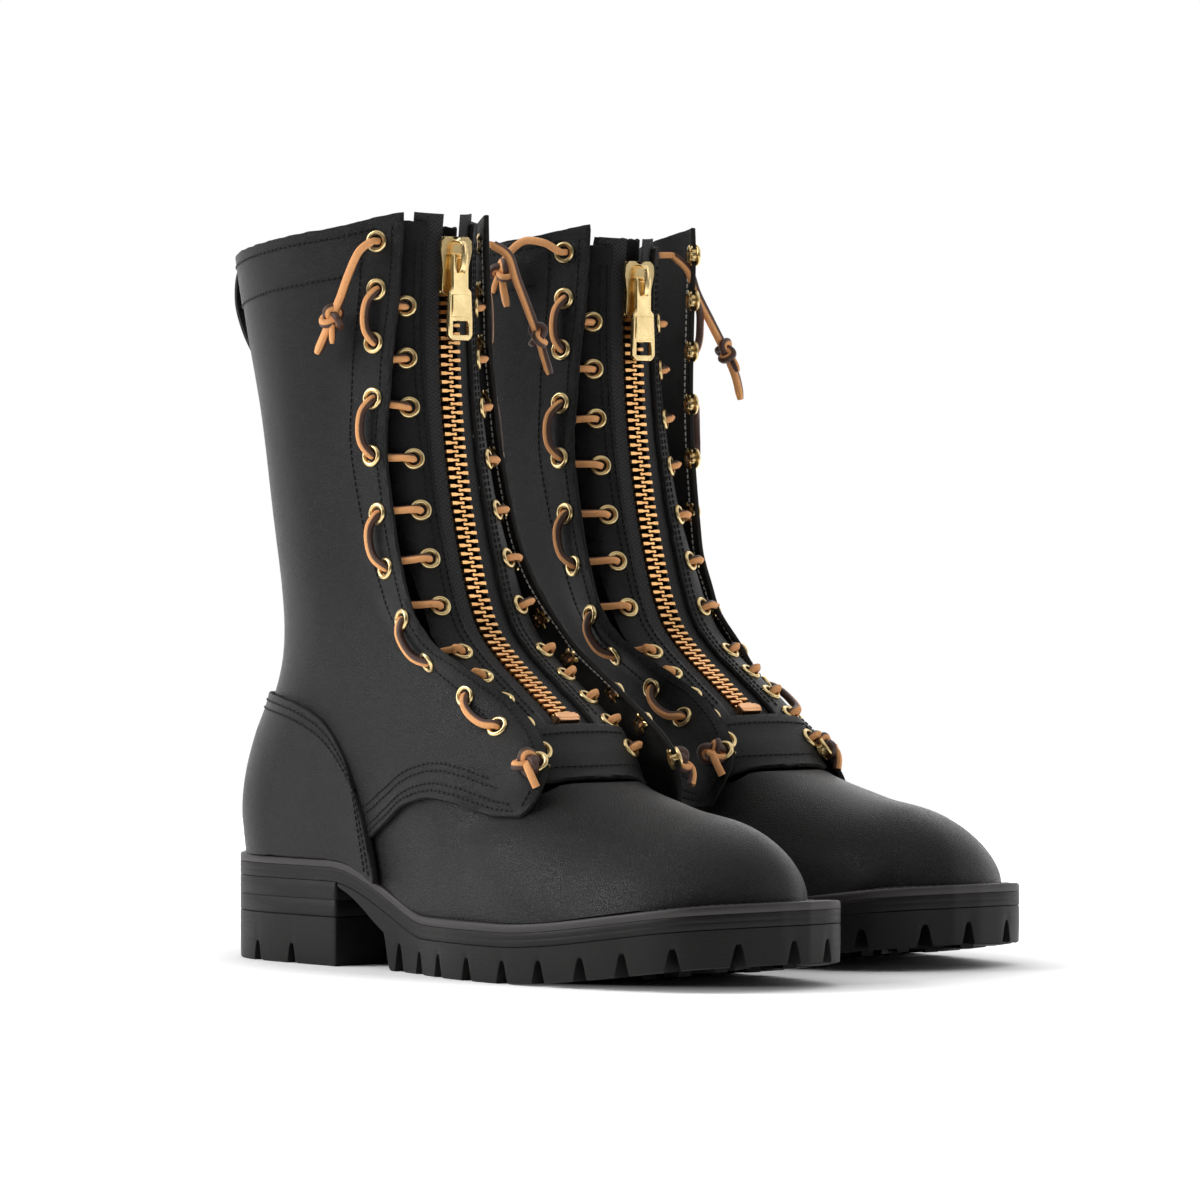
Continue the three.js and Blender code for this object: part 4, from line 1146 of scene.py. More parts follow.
@dataclass
class HeelCounter:
    """The outer counter that wraps the heel, double stitched along its upper edge."""

    top: Sequence[Sequence[float]] = ((16.5, 104), (36, 104.5), (60, 102), (80, 94.5), (94, 82), (101, 71))
    front: Sequence[Sequence[float]] = ((116, 34), (112, 47), (107, 60), (101, 71))
    rows: int = 46
    columns: int = 60

    def build(self, foot: Foot) -> None:
        """Makes the counter and its stitching."""
        mesh, dark = Raw(), Raw()
        grids = {}
        for side in Side:
            front = spline(self.front, 60)
            front[0, 1] = float(welt_top(front[0, 0])) + 0.4
            front = resample(front, self.rows)
            top = resample(spline(self.top, 120), self.columns, 0.6)
            floor_z = float(welt_top(0.0)) + 0.4
            z = np.linspace(floor_z, 104, self.rows)
            start = np.stack([back_x(z), z], 1)
            t = np.linspace(0, 1, self.columns)
            x = mix(start[0, 0], front[0, 0], (1 - np.cos(t * math.pi / 2)) * 0.6 + t * 0.4)
            bottom = np.stack([x, welt_top(x) + 0.4], 1)
            region = coons(bottom, top, start, front)
            x, z = region[..., 0], region[..., 1]
            y = side.value * FORM.half_width(x, z, side)
            y[:, 0] = 0.0
            grids[side] = np.stack([x, y, z], -1)
        whole = np.concatenate([grids[Side.LATERAL][:, ::-1], grids[Side.MEDIAL][:, 1:]], 1)
        normals = grid_normals(whole, np.stack([0.3 * (whole[..., 0] - 60) / 60, np.sign(whole[..., 1]),
                                                np.zeros(whole.shape[:2])], -1))
        middle = self.columns - 1
        normals[:, middle] = unit(normals[:, middle] * [1, 0, 1] - [1e-3, 0, 0])
        normals = np.where((normals[..., :1] > 0) & (whole[..., :1] < 8), normals * [-1, 1, 1], normals)
        bulge = 0.5 * np.exp(-(((whole[..., 2] - 56) / 16) ** 2))
        lift = LAYER["counter"] + LEATHER + bulge
        hide(mesh, whole, normals, LAYER["counter"] - 0.8, lift, 0.25, seed=9, round_edge=0.5)
        mesh.build("heel_counter", foot, UPPER, replaces=("heel_counter",))
        face = whole + normals * lift[..., None]
        climb = depth_below_top(face)
        side_run = np.cumsum(np.linalg.norm(np.diff(face, axis=1, prepend=face[:, :1]), axis=2), axis=1)
        for inset in (2.8, 6.2):
            line, around = [], []
            for r in range(2, self.rows - 4):
                c = np.interp(inset, side_run[r], np.arange(face.shape[1]))
                i = int(c)
                line.append(mix(face[r, i], face[r, i + 1], c - i))
                around.append(normals[r, i])
            for c in range(3, face.shape[1] - 3):
                r = np.interp(inset, climb[::-1, c], np.arange(self.rows)[::-1])
                i = min(int(r), self.rows - 2)
                line.append(mix(face[i, c], face[i + 1, c], r - i))
                around.append(normals[i, c])
            for r in range(self.rows - 5, 1, -1):
                c = np.interp(side_run[r, -1] - inset, side_run[r], np.arange(face.shape[1]))
                i = min(int(c), face.shape[1] - 2)
                line.append(mix(face[r, i], face[r, i + 1], c - i))
                around.append(normals[r, i])
            Stitches().sew(dark, np.array(line), np.array(around))
        dark.build("counter_thread", foot, THREAD)


@dataclass
class Vamp:
    """The leather over the forefoot, drawn tight over the toes."""

    rows: int = 56
    columns: int = 120
    start: float = 98.0

    def top_edge(self, x: Array) -> Array:
        """Height of the vamp's upper edge: open at the throat and closed over the toes."""
        crest = FORM.crest[(FORM.crest[:, 0] > 150) & (FORM.crest[:, 0] <= 250.01)]
        ridge = np.interp(x, crest[:, 0], crest[:, 1])
        return mix(np.minimum(69, 60 + (x - 100) * 0.35), ridge, smooth(199, 208, x))

    def half(self, side: Side) -> Array:
        """One side's points, from the welt up."""
        u = np.linspace(0, 1, self.columns)[None, :]
        v = np.linspace(0, 1, self.rows)[:, None]
        turn = np.clip((u - 0.62) / 0.38, 0, 1)
        toe_x, toe_z = FORM.toe_point(mix(1.0, 0.06, turn))
        x = np.where(u < 0.62, mix(self.start, FORM.TOE_CENTRE[0], u / 0.62), toe_x)
        top_z = np.where(u < 0.62, self.top_edge(x), toe_z)
        px = np.broadcast_to(x, (self.rows, self.columns))
        pz = mix(np.minimum(welt_top(x) + 0.2, top_z - 0.4), top_z, np.sin(v * math.pi / 2))
        y = side.value * FORM.half_width(px, pz, side)
        y = np.where((v == 1) & (x > 207), 0.0, y)
        y[:, -1] = 0.0
        return np.stack(np.broadcast_arrays(px, y, pz), -1)

    @staticmethod
    def ease(grid: Array) -> Array:
        """Eases the hollow between instep and toes, as stretched leather spans it."""
        seam = np.abs(grid[-1, :, 1]) < 0.01
        share = smooth(201, 214, grid[..., 0]) * (1 - smooth(258, 276, grid[..., 0]))
        share = share * smooth(0, 10, np.arange(len(grid)))[:, None]
        for _ in range(45):
            soft = (np.roll(grid, 1, 1) + 2 * grid + np.roll(grid, -1, 1)) / 4
            grid = mix(grid, soft, share[..., None])
        grid[-1, seam, 1] = 0.0
        return grid

    def build(self, foot: Foot) -> None:
        """Makes the vamp as one sheet."""
        mesh = Raw()
        for side in Side:
            grid = self.ease(self.half(side))
            ahead = 0.15 + smooth(255, 292, grid[..., 0])
            normals = grid_normals(grid, np.stack([ahead, np.full(grid.shape[:2], side.value * 0.8),
                                                   np.full(grid.shape[:2], 0.6)], -1))
            seam = np.abs(grid[..., 1]) < 0.01
            flat = unit(normals * [1, 0, 1] + [1e-6, 0, 0])
            normals = np.where(seam[..., None], flat, normals)
            x, z = grid[..., 0], grid[..., 2]
            folds = np.sin(x / 6.5 + z / 9 + 0.03 * grid[..., 1]) * np.exp(-(((x - 208) / 20) ** 2))
            folds = folds * smooth(45, 62, z) * 0.1
            hide(mesh, grid, normals, 0.0, LEATHER + folds, 0.0, seed=5, round_edge=0.0)
        piece = mesh.build("vamp", foot, TOE_LEATHER, replaces=("vamp",), sharp=60.0)
        weld(piece, 0.05)


def weld(piece: bpy.types.Object, gap: float) -> None:
    """Joins a piece's points that are closer than a gap in millimetres, and drops doubled faces."""
    work = bmesh.new()
    work.from_mesh(piece.data)
    bmesh.ops.remove_doubles(work, verts=work.verts, dist=gap * MM)
    doubles = [f for f in work.faces if all(len(e.link_faces) > 2 for e in f.edges) or f.calc_area() < 1e-12]
    bmesh.ops.delete(work, geom=doubles, context="FACES")
    work.to_mesh(piece.data)
    work.free()
    piece.data.shade_smooth()


@dataclass
class Backstay:
    """The strip over the back seam, and the pull loop above it."""

    half: float = 9.0
    low: float = 110.0
    high: float = 272.0

    def build(self, foot: Foot) -> None:
        """Makes the strip, its thread and the loop."""
        z = np.linspace(self.low, self.high, 70)
        across = np.linspace(-1, 1, 9)
        base = back_x(z)[:, None] - (LAYER["quarter"] + LEATHER + 0.3) + 0.9 * across[None, :] ** 2
        grid = np.stack(np.broadcast_arrays(base, across[None, :] * self.half, z[:, None]), -1)
        normals = grid_normals(grid, np.broadcast_to([-1.0, 0, 0], grid.shape))
        mesh = Raw()
        hide(mesh, grid, normals, -0.4, 1.6, 0.15, seed=12)
        mesh.build("backstay", foot, UPPER, replaces=("backstay",))
        dark = Raw()
        for k in (1, 7):
            Stitches().sew(dark, grid[:, k] + normals[:, k] * 1.6, normals[:, k])
        dark.build("backstay_thread", foot, THREAD)
        x0 = float(back_x(262)) - 1.2 - LEATHER - 1.6
        path = np.array([[x0 + 0.6, 0, 279.6], [x0 - 4.5, 0, 279.6], [x0 - 10.4, 0, 273.5],
                         [x0 - 11.2, 0, 262], [x0 - 6.6, 0, 251], [x0 - 0.9, 0, 243]])
        line = spline(path, 40)
        loop = Raw()
        sweep(loop, line, oval(22, 2.3, 6, 28), hint=np.array([0.0, 1.0, 0.0]))
        loop.build("pull_loop", foot, UPPER, replaces=("pull_loop",))


@dataclass
class FrontStrip:
    """A strip over the boot's front, between two stretches of the crest."""

    start: float
    end: float
    edge_from: tuple[float, float]
    edge_to: tuple[float, float]
    rows: int = 90
    columns: int = 10

    def grid(self) -> tuple[Array, Array]:
        """The strip's points on the reference surface and their normals."""
        run = np.linspace(self.start, self.end, self.rows)
        t = np.linspace(0, 1, self.rows)
        a = mix(self.edge_from[0], self.edge_from[1], t)
        b = mix(self.edge_to[0], self.edge_to[1], t)
        y = a[:, None] + (b - a)[:, None] * np.linspace(0, 1, self.columns)[None]
        points = FORM.front(np.broadcast_to(run[:, None], y.shape), y)
        towards = np.stack([np.full(y.shape, 1.0), np.sign(y) * 0.6, np.full(y.shape, 1.0)], -1)
        return points, grid_normals(points, towards)


# ---- The zip insert -----------------------------------------------------------------------------
@dataclass
class ZipInsert:
    """The laced-in panels with their tapes, brass teeth, bottom stop and base tab."""

    panel_edge: float = 12.4
    panel_width: tuple[float, float] = (24.0, 28.0)
    panel_top: float = 291.0
    tape_edge: tuple[float, float] = (5.4, 17.0)
    tape_top: float = 295.0
    pitch: float = 3.4
    tooth: float = 1.45
    reach: float = 4.9

    def build(self, foot: Foot) -> None:
        """Makes the insert of one boot."""
        self.tongue(foot)
        for side in Side:
            self.panel(foot, side)
            self.tape(foot, side)
        self.teeth(foot)
        self.stop(foot)
        self.tab(foot)

    def tongue(self, foot: Foot) -> None:
        """The gusset behind the zip."""
        part = FrontStrip(FORM.run_at_height(289), FORM.run_at_x(190), (-19, -24), (19, 24), 80, 26)
        grid, normals = part.grid()
        mesh = Raw()
        hide(mesh, grid, normals, LAYER["tongue"], LAYER["tongue"] + 2.0, 0.4, seed=21)
        mesh.build("tongue", foot, SUEDE, replaces=("tongue",))

    def panel(self, foot: Foot, side: Side) -> None:
        """One eyelet panel, with a row of thread on each edge."""
        part = FrontStrip(FORM.run_at_height(self.panel_top - foot.zip_drop), FORM.run_at_x(187),
                          (side.value * self.panel_edge, side.value * self.panel_edge),
                          (side.value * self.panel_width[0], side.value * self.panel_width[1]), 130, 11)
        grid, normals = part.grid()
        mesh, dark = Raw(), Raw()
        hide(mesh, grid, normals, LAYER["panel"], LAYER["panel"] + 2.0, 0.32, seed=31 + int(side.value))
        mesh.build(f"{side.label}_zip_panel", foot, UPPER, replaces=(f"{side.label}_zip_panel",))
        for k in (1, 3):
            Stitches().sew(dark, grid[4:-4, k] + normals[4:-4, k] * (LAYER["panel"] + 2.0), normals[4:-4, k])
        dark.build(f"{side.label}_panel_thread", foot, THREAD)

    def tape(self, foot: Foot, side: Side) -> None:
        """One woven tape, with loose pale threads along the panel's edge."""
        near, far = side.value * self.tape_edge[0], side.value * self.tape_edge[1]
        part = FrontStrip(FORM.run_at_height(self.tape_top - foot.zip_drop), FORM.run_at_x(185),
                          (near, near), (far, far), 130, 6)
        grid, normals = part.grid()
        run = np.concatenate([[0], np.cumsum(np.linalg.norm(np.diff(grid[:, 0], axis=0), axis=1))])
        across = np.linspace(self.tape_edge[0], self.tape_edge[1], grid.shape[1])
        uv = np.stack(np.broadcast_arrays(across[None] * MM, run[:, None] * MM), -1)
        outer = grid + normals * (CHAIN_DEPTH + 0.3)
        inner = grid + normals * (CHAIN_DEPTH - 0.4)
        mesh = Raw()
        rows, columns = grid.shape[:2]
        turn = side is Side.LATERAL
        n = rows * columns
        faces = grid_faces(rows, columns, not turn) + [tuple(i + n for i in f)
                                                       for f in grid_faces(rows, columns, turn)]
        ring, _ = border(rows, columns)
        flat = [r * columns + c for r, c in ring]
        for a, b in zip(flat, flat[1:] + flat[:1]):
            quad = (a, b, b + n, a + n)
            faces.append(quad if turn else quad[::-1])
        mesh.add(np.concatenate([outer.reshape(-1, 3), inner.reshape(-1, 3)]), faces, 0.0,
                 np.concatenate([uv.reshape(-1, 2)] * 2))
        mesh.build(f"{side.label}_zip_tape", foot, TAPE, replaces=(f"{side.label}_zip_tape",))
        rng = random.Random(int(40 + side.value))
        fray = Raw()
        for _ in range(34 if side is Side.MEDIAL else 12):
            r = int(rng.uniform(4, rows * 0.72))
            base = grid[r, -2] + normals[r, -2] * (CHAIN_DEPTH + 0.6)
            step = unit(grid[min(r + 1, rows - 1), -2] - grid[r, -2])
            path = np.array([base + step * rng.uniform(-2, 2) * k
                             + normals[r, -2] * (0.4 + rng.uniform(0, 1.0) * k)
                             + np.array([0, -side.value * rng.uniform(0, 1.6), 0]) * k
                             for k in (0, 0.5, 1.0, 1.5)])
            sweep(fray, spline(path, 6), oval(0.22, 0.22, 2, 5))
        fray.build(f"{side.label}_tape_fray", foot, PALE_THREAD)

    def teeth(self, foot: Foot) -> None:
        """The two rows of teeth, each tooth a clamped body with a neck and a head."""
        start = FORM.run_at_height(SLIDER_TOP - 12 - foot.zip_drop)
        end = FORM.run_at_x(180.0)
        edge = [(self.reach, 0.75), (2.6, 0.78), (1.5, 0.46), (0.3, 0.46), (-0.3, 0.72), (-1.0, 0.6)]
        outline = [(self.reach, -0.75)] + edge + [(y, -a) for y, a in edge[:0:-1]]
        for side in Side:
            mesh = Raw()
            shift = 0.0 if side is Side.LATERAL else self.pitch / 2
            for run in np.arange(start + shift, end, self.pitch):
                at, out = FORM.crest_at(np.array(run))
                along = np.array([out[1], 0.0, -out[0]])
                up = np.array([out[0], 0.0, out[1]])
                centre = np.array([at[0], 0.0, at[1]]) + up * CHAIN_DEPTH
                layers = []
                for height, shrink in ((-1.5, 0.82), (-1.2, 1.0), (1.1, 1.0), (1.5, 0.84)):
                    narrow = 0.94 + 0.06 * shrink
                    layers.append([centre + np.array([0, side.value, 0]) * (1.9 + (y - 1.9) * narrow)
                                   + along * a * shrink + up * height for y, a in outline])
                k = len(outline)
                faces = grid_faces(4, k, turn=side is Side.LATERAL, closed=True)
                cap = tuple(range(k - 1, -1, -1)), tuple(3 * k + i for i in range(k))
                if side is Side.LATERAL:
                    cap = tuple(f[::-1] for f in cap)
                mesh.add(np.array(layers), faces + list(cap))
            mesh.build(f"{side.label}_zip_teeth", foot, TEETH_BRASS, sharp=50,
                       replaces=(f"{side.label}_zip_teeth",))

    def stop(self, foot: Foot) -> None:
        """The bottom stop: a folded clip of copper-coloured brass."""
        mesh = Raw()
        run = FORM.run_at_x(181.5)
        at, out = FORM.crest_at(np.array(run))
        along = np.array([out[1], 0.0, -out[0]])
        up = np.array([out[0], 0.0, out[1]])
        centre = np.array([at[0], 0.0, at[1]]) + up * (CHAIN_DEPTH + 0.4)
        for a0, a1, width, height in ((-2.3, 2.3, 5.0, 2.9), (-1.2, 1.2, 5.5, 3.2)):
            corners = [centre + along * a + np.array([0, y, 0]) + up * h for h in (-2.0, height)
                       for a, y in ((a0, -width), (a1, -width), (a1, width), (a0, width))]
            block(mesh, np.array(corners))
        piece = mesh.build("zip_bottom_stop", foot, STOP_BRASS, replaces=("zip_bottom_stop",))
        bevelled(piece, 0.4)

    def tab(self, foot: Foot) -> None:
        """The leather tab that closes the insert's foot, with a ragged curved edge."""
        part = FrontStrip(FORM.run_at_x(186.5), FORM.run_at_x(204), (-23, -25), (23, 25), 20, 34)
        grid, normals = part.grid()
        t = np.linspace(-1, 1, 34)
        bow = (1 - t**2) * 5.5
        along = unit(grid[-1] - grid[0])
        share = np.linspace(0, 1, 20)[:, None, None]
        grid = grid - along[None] * ((1 - bow / 5.5) * 4.0)[None, :, None] * share
        mesh, dark = Raw(), Raw()
        lift = LAYER["panel"] + 2.2 + 2.1
        hide(mesh, grid, normals, -0.8, lift, 0.45, seed=51)
        mesh.build("zip_base_tab", foot, UPPER, replaces=("zip_base_tab",))
        for k in (3, 15):
            Stitches().sew(dark, grid[k] + normals[k] * lift, normals[k])
        dark.build("base_tab_thread", foot, THREAD)


@dataclass
class Slider:
    """The zip's slider and its pull tab, each on its own body."""

    shoulder: float = 15.6
    tail: float = 12.6
    plate: float = 1.7
    channel: float = 2.3
    pull_width: float = 12.0
    pull_length: float = 33.0
    pull_thick: float = 1.8
    pivot: tuple[float, float] = (5.9, 4.0)

    def angle(self, foot: Foot) -> float:
        """The slider's angle round the track's centre."""
        return math.asin((SLIDER_TOP - foot.zip_drop - SLIDER_LENGTH / 2 - TRACK_CENTRE[1]) / TRACK_RADIUS)

    def on_track(self, mesh: Raw, foot: Foot) -> Raw:
        """Moves a mesh from the slider's frame, with Z up the track, to the boot's."""
        a = self.angle(foot)
        at = (TRACK_CENTRE[0] - TRACK_RADIUS * math.cos(a), TRACK_CENTRE[1] + TRACK_RADIUS * math.sin(a))
        return self.turned(mesh, a, at)

    @staticmethod
    def turned(mesh: Raw, angle: float, to: tuple[float, float]) -> Raw:
        """Turns a mesh round Y by an angle, and moves its origin to an (x, z) place."""
        c, s = math.cos(angle), math.sin(angle)
        mesh.points = [np.stack([p[:, 0] * c + p[:, 2] * s + to[0], p[:, 1],
                                 p[:, 2] * c - p[:, 0] * s + to[1]], 1) for p in mesh.points]
        return mesh

    @staticmethod
    def extrude(mesh: Raw, outline: Sequence[Sequence[float]], low: float, high: float) -> None:
        """Adds a prism along X of an anticlockwise (y, z) outline."""
        k = len(outline)
        points = [(x, y, z) for x in (low, high) for y, z in outline]
        faces = [(i, (i + 1) % k, k + (i + 1) % k, k + i) for i in range(k)]
        mesh.add(points, faces + [tuple(range(k - 1, -1, -1)), tuple(k + i for i in range(k))])

    def build(self, foot: Foot) -> None:
        """Makes the slider and the pull."""
        half = SLIDER_LENGTH / 2
        s, t, c, p = self.shoulder / 2, self.tail / 2, self.channel, self.plate
        outline = [(-t, -half + 1.6), (-t + 1.6, -half), (-1.2, -half), (0, -half + 0.8), (1.2, -half),
                   (t - 1.6, -half), (t, -half + 1.6), (t, -1.5), (s, half * 0.55), (s - 0.4, half * 0.86),
                   (s - 2.2, half), (2.6, half), (0, half - 1.8), (-2.6, half), (-s + 2.2, half),
                   (-s + 0.4, half * 0.86), (-s, half * 0.55), (-t, -1.5)]
        mesh = Raw()
        self.extrude(mesh, outline, c, c + p)
        self.extrude(mesh, outline, -c - p, -c)
        wedge = [(-0.5, half - 7), (0.5, half - 7), (0.5, half - 1), (-0.5, half - 1)]
        self.extrude(mesh, wedge, -c - 0.4, c + 0.4)
        for y in (-t, t - 0.9):
            lip = [(y, -half + 1), (y + 0.9, -half + 1), (y + 0.9, -0.6), (y, -0.6)]
            self.extrude(mesh, lip, 1.4, c + 0.3)
            self.extrude(mesh, lip, -c - 0.3, -1.4)
        x0 = c + p
        arch = [np.array([x0 - 0.6, 0, -1.9]), np.array([x0 + 3.4, 0, -1.6]), np.array([x0 + 4.6, 0, 0.6]),
                np.array([x0 + 4.6, 0, 7.0]), np.array([x0 + 3.4, 0, 9.2]), np.array([x0 - 0.6, 0, 9.6])]
        sweep(mesh, spline(arch, 26), oval(2.6, 1.5, 3.2, 16), hint=np.array([0.0, 1.0, 0.0]))
        piece = self.on_track(mesh, foot).build("zip_slider", foot, SLIDER_BRASS, f"{foot.label}_slider",
                                                sharp=35, replaces=("zip_slider",))
        bevelled(piece, 0.32)
        self.pull(foot)

    def pull(self, foot: Foot) -> None:
        """The pull tab: a frame with a raised panel, a window near its end and a loop at its top."""
        w, n, h = self.pull_width / 2, self.pull_length, self.pull_thick / 2
        window, slot, neck, shoulder = (2.9, -n + 2.2, -n + 7.6), (1.9, -6.4, -0.9), 3.9, -12.5
        mesh = Raw()
        ys = [-w, -neck, -slot[0], slot[0], neck, w]
        zs = [-n, window[1], window[2], shoulder, slot[1], slot[2], 0.9]
        corner = {(0, 0): (0.9, 0.9), (5, 0): (-0.9, 0.9), (0, 3): (0.6, -1.4), (5, 3): (-0.6, -1.4)}
        points, index = [], {}
        for layer, x in enumerate((-h, h)):
            for i, y in enumerate(ys):
                for j, z in enumerate(zs):
                    dy, dz = corner.get((i, j), (0, 0))
                    index[layer, i, j] = len(points)
                    points.append((x, y + dy, z + dz))
        open_cells = {(1, 1), (2, 1), (3, 1), (2, 4)} | {(i, j) for i in (0, 4) for j in (3, 4, 5)}
        faces = []
        solid = {(i, j) for i in range(5) for j in range(6)} - open_cells
        for i, j in solid:
            a = [index[1, i, j], index[1, i + 1, j], index[1, i + 1, j + 1], index[1, i, j + 1]]
            b = [index[0, i, j], index[0, i, j + 1], index[0, i + 1, j + 1], index[0, i + 1, j]]
            faces += [tuple(a), tuple(b)]
            for (di, dj), (p, q) in (((0, -1), ((i, j), (i + 1, j))), ((1, 0), ((i + 1, j), (i + 1, j + 1))),
                                     ((0, 1), ((i + 1, j + 1), (i, j + 1))), ((-1, 0), ((i, j + 1), (i, j)))):
                if (i + di, j + dj) not in solid:
                    faces.append((index[0, *p], index[0, *q], index[1, *q], index[1, *p]))
        mesh.add(points, faces)
        low, high, wide = -n + 9.2, shoulder - 2.4, w - 1.5
        panel = [(-wide, low), (wide, low), (wide, high), (-wide, high)]
        self.extrude(mesh, panel, h - 0.1, h + 0.5)
        self.turned(mesh, -self.angle(foot), self.pivot)
        piece = self.on_track(mesh, foot).build("zip_pull", foot, SLIDER_BRASS, f"{foot.label}_pull",
                                                sharp=35, replaces=("zip_pull",))
        bevelled(piece, 0.35)


# ---- The sole -----------------------------------------------------------------------------------
SOLE_WIDTH = {
    Side.LATERAL: graph([[-3, 4], [0, 6], [4, 18], [12, 28], [24, 35.5], [45, 39.5], [85, 40.5], [130, 42],
                         [174, 53.5], [214, 57], [249, 54], [270, 49.5], [285, 45.5], [296, 40], [303, 32],
                         [308, 20], [311, 5]]),
    Side.MEDIAL: graph([[-3, 4], [0, 6], [4, 18], [12, 27.5], [24, 34], [45, 37.5], [85, 37], [130, 34.5],
                        [174, 43.5], [214, 52], [249, 53], [276, 47.5], [290, 42], [299, 35], [306, 25],
                        [311, 9]]),
}


@dataclass
class Sole:
    """The stacked sole: welt, midsole, heel base, and the lugged outsole and heel lift."""

    welt: float = 3.2
    midsole: float = 5.4
    lug: float = 7.5
    heel_split: float = 19.2
    spacing: float = 0.85
    notches: Sequence[float] = (130, 148, 166, 187, 210, 231, 252, 271, 292)
    toe_notches: Sequence[tuple[float, float]] = ((304, -22), (311, 1), (308, 21))
    heel_notches: Sequence[float] = (11, 36, 60)

    def outline(self, start: float, end: float, inset: float = 0.0) -> Array:
        """The sole's outline between two places along it, anticlockwise and evenly spaced.

        Args:
            start: where it starts; at or before the heel's back it follows the heel round.
            end: where it ends; at or after the toe it follows the toe round.
            inset: how far inside the sole's edge it runs.

        Returns:
            (x, y) points of the closed outline.
        """
        t = (1 - np.cos(np.linspace(0, math.pi, 260))) / 2
        x = mix(max(start, -2.9), min(end, SOLE_LENGTH), t)
        lower = np.stack([x, -SOLE_WIDTH[Side.LATERAL](x)], 1)
        upper = np.stack([x, SOLE_WIDTH[Side.MEDIAL](x)], 1)[::-1]
        ring = np.concatenate([lower, upper, lower[:1]])
        step = np.linalg.norm(np.diff(ring, axis=0), axis=1)
        run = np.concatenate([[0], np.cumsum(step)])
        at = np.linspace(0, run[-1], int(run[-1] / self.spacing) + 1)[:-1]
        ring = np.stack([np.interp(at, run, ring[:, k]) for k in (0, 1)], 1)
        for _ in range(2):
            ring = (np.roll(ring, 1, 0) + 2 * ring + np.roll(ring, -1, 0)) / 4
        return self.inside(ring, inset)

    @staticmethod
    def inside(ring: Array, inset: Array) -> Array:
        """An outline moved inwards."""
        ahead = unit(np.roll(ring, -3, 0) - np.roll(ring, 3, 0))
        normal = np.stack([-ahead[:, 1], ahead[:, 0]], 1)
        return ring + normal * np.reshape(inset, (-1, 1)) if np.ndim(inset) else ring + normal * inset

    def stack(self, mesh: Raw, ring: Array, levels: Sequence[tuple[object, float, float]]) -> None:
        """Adds a closed body through levels, from the bottom up.

        Args:
            mesh: the mesh it is added to.
            ring: its outline.
            levels: height, inset and rawness of each level.
        """
        rows = []
        amount = []
        for height, inset, raw in levels:
            z = np.broadcast_to(height, len(ring))
            rows.append(np.concatenate([self.inside(ring, inset), np.reshape(z, (-1, 1))], 1))
            amount.append(np.full(len(ring), raw))
        n = len(ring)
        faces = grid_faces(len(levels), n, closed=True)
        points = np.concatenate(rows)
        mesh.add(points, faces, np.concatenate(amount))
        self.cap(mesh, rows[0], False)
        self.cap(mesh, rows[-1], True)

    @staticmethod
    def cap(mesh: Raw, ring: Array, up: bool) -> None:
        """Closes a level across, each point with the one over against it."""
        n = len(ring)
        order = np.argsort(ring[:, 0])
        first = int(order[0])
        idx = [(first + k) % n for k in range(n)]
        points = ring[idx]
        faces = []
        for k in range(n // 2 - 1):
            quad = (k, k + 1, n - 2 - k, n - 1 - k)
            if len(set(quad)) == 4:
                faces.append(quad if up else quad[::-1])
        mesh.add(points, faces)

    def notch(self, ring: Array, centres: Sequence[tuple[float, float]], wide: float = 3.3,
              narrow: float = 1.2) -> Array:
        """How far each outline point lies in a notch, from 0 to 1."""
        step = np.linalg.norm(np.roll(ring, -1, 0) - ring, axis=1)
        run = np.concatenate([[0], np.cumsum(step)])[:-1]
        total = float(step.sum())
        depth = np.zeros(len(ring))
        for x, y in centres:
            k = int(np.argmin(np.hypot(ring[:, 0] - x, ring[:, 1] - y)))
            away = np.abs(run - run[k])
            away = np.minimum(away, total - away)
            depth = np.maximum(depth, np.clip((wide - away) / (wide - narrow), 0, 1))
        return depth

    def build(self, foot: Foot) -> None:
        """Makes the whole sole of one boot."""
        self.welts(foot)
        self.forepart(foot)
        self.heel(foot)

    def welts(self, foot: Foot) -> None:
        """The welt with its row of thread, and the midsole under it."""
        ring = self.outline(-3, SOLE_LENGTH)
        top = welt_top(ring[:, 0])
        low = top - self.welt
        mesh = Raw()
        self.stack(mesh, ring, [(low, 0.12, 0.2), (low + 0.15, 0.0, 0.1), (top - 0.9, 0.0, 0.2),
                                (top - 0.25, 0.25, 1.0), (top, 0.9, 0.6), (top, 6.0, 0.6), (top, 22.0, 0.6)])
        mesh.build("welt", foot, WELT, replaces=("welt",), sharp=50)
        dark = Raw()
        seam = self.inside(ring, 4.2)
        keep = seam[:, 0] > 84
        seam = np.roll(seam, -int(np.argmin(keep)), 0)
        seam = seam[seam[:, 0] > 84]
        jumps = np.linalg.norm(np.diff(seam, axis=0), axis=1)
        cut = int(np.argmax(jumps)) + 1 if jumps.max() > 5 else 0
        seam = np.roll(seam, -cut, 0)
        line = np.concatenate([seam, (welt_top(seam[:, 0]) + 0.05)[:, None]], 1)
        Stitches(length=3.0, pitch=3.6, width=0.85).sew(dark, line, np.broadcast_to([0.0, 0, 1], line.shape))
        dark.build("welt_thread", foot, THREAD)
        mid = Raw()
        high, base = low - 0.15, low - self.midsole
        groove = base + 2.6
        self.stack(mid, ring, [(base, 0.15, 0), (base + 0.2, 0.0, 0), (groove - 0.2, 0.0, 0),
                               (groove, 0.08, 0), (groove + 0.2, 0.0, 0), (high - 0.2, 0.0, 0),
                               (high, 0.15, 0)])
        mid.build("midsole", foot, SOLE, replaces=("midsole",), sharp=50)

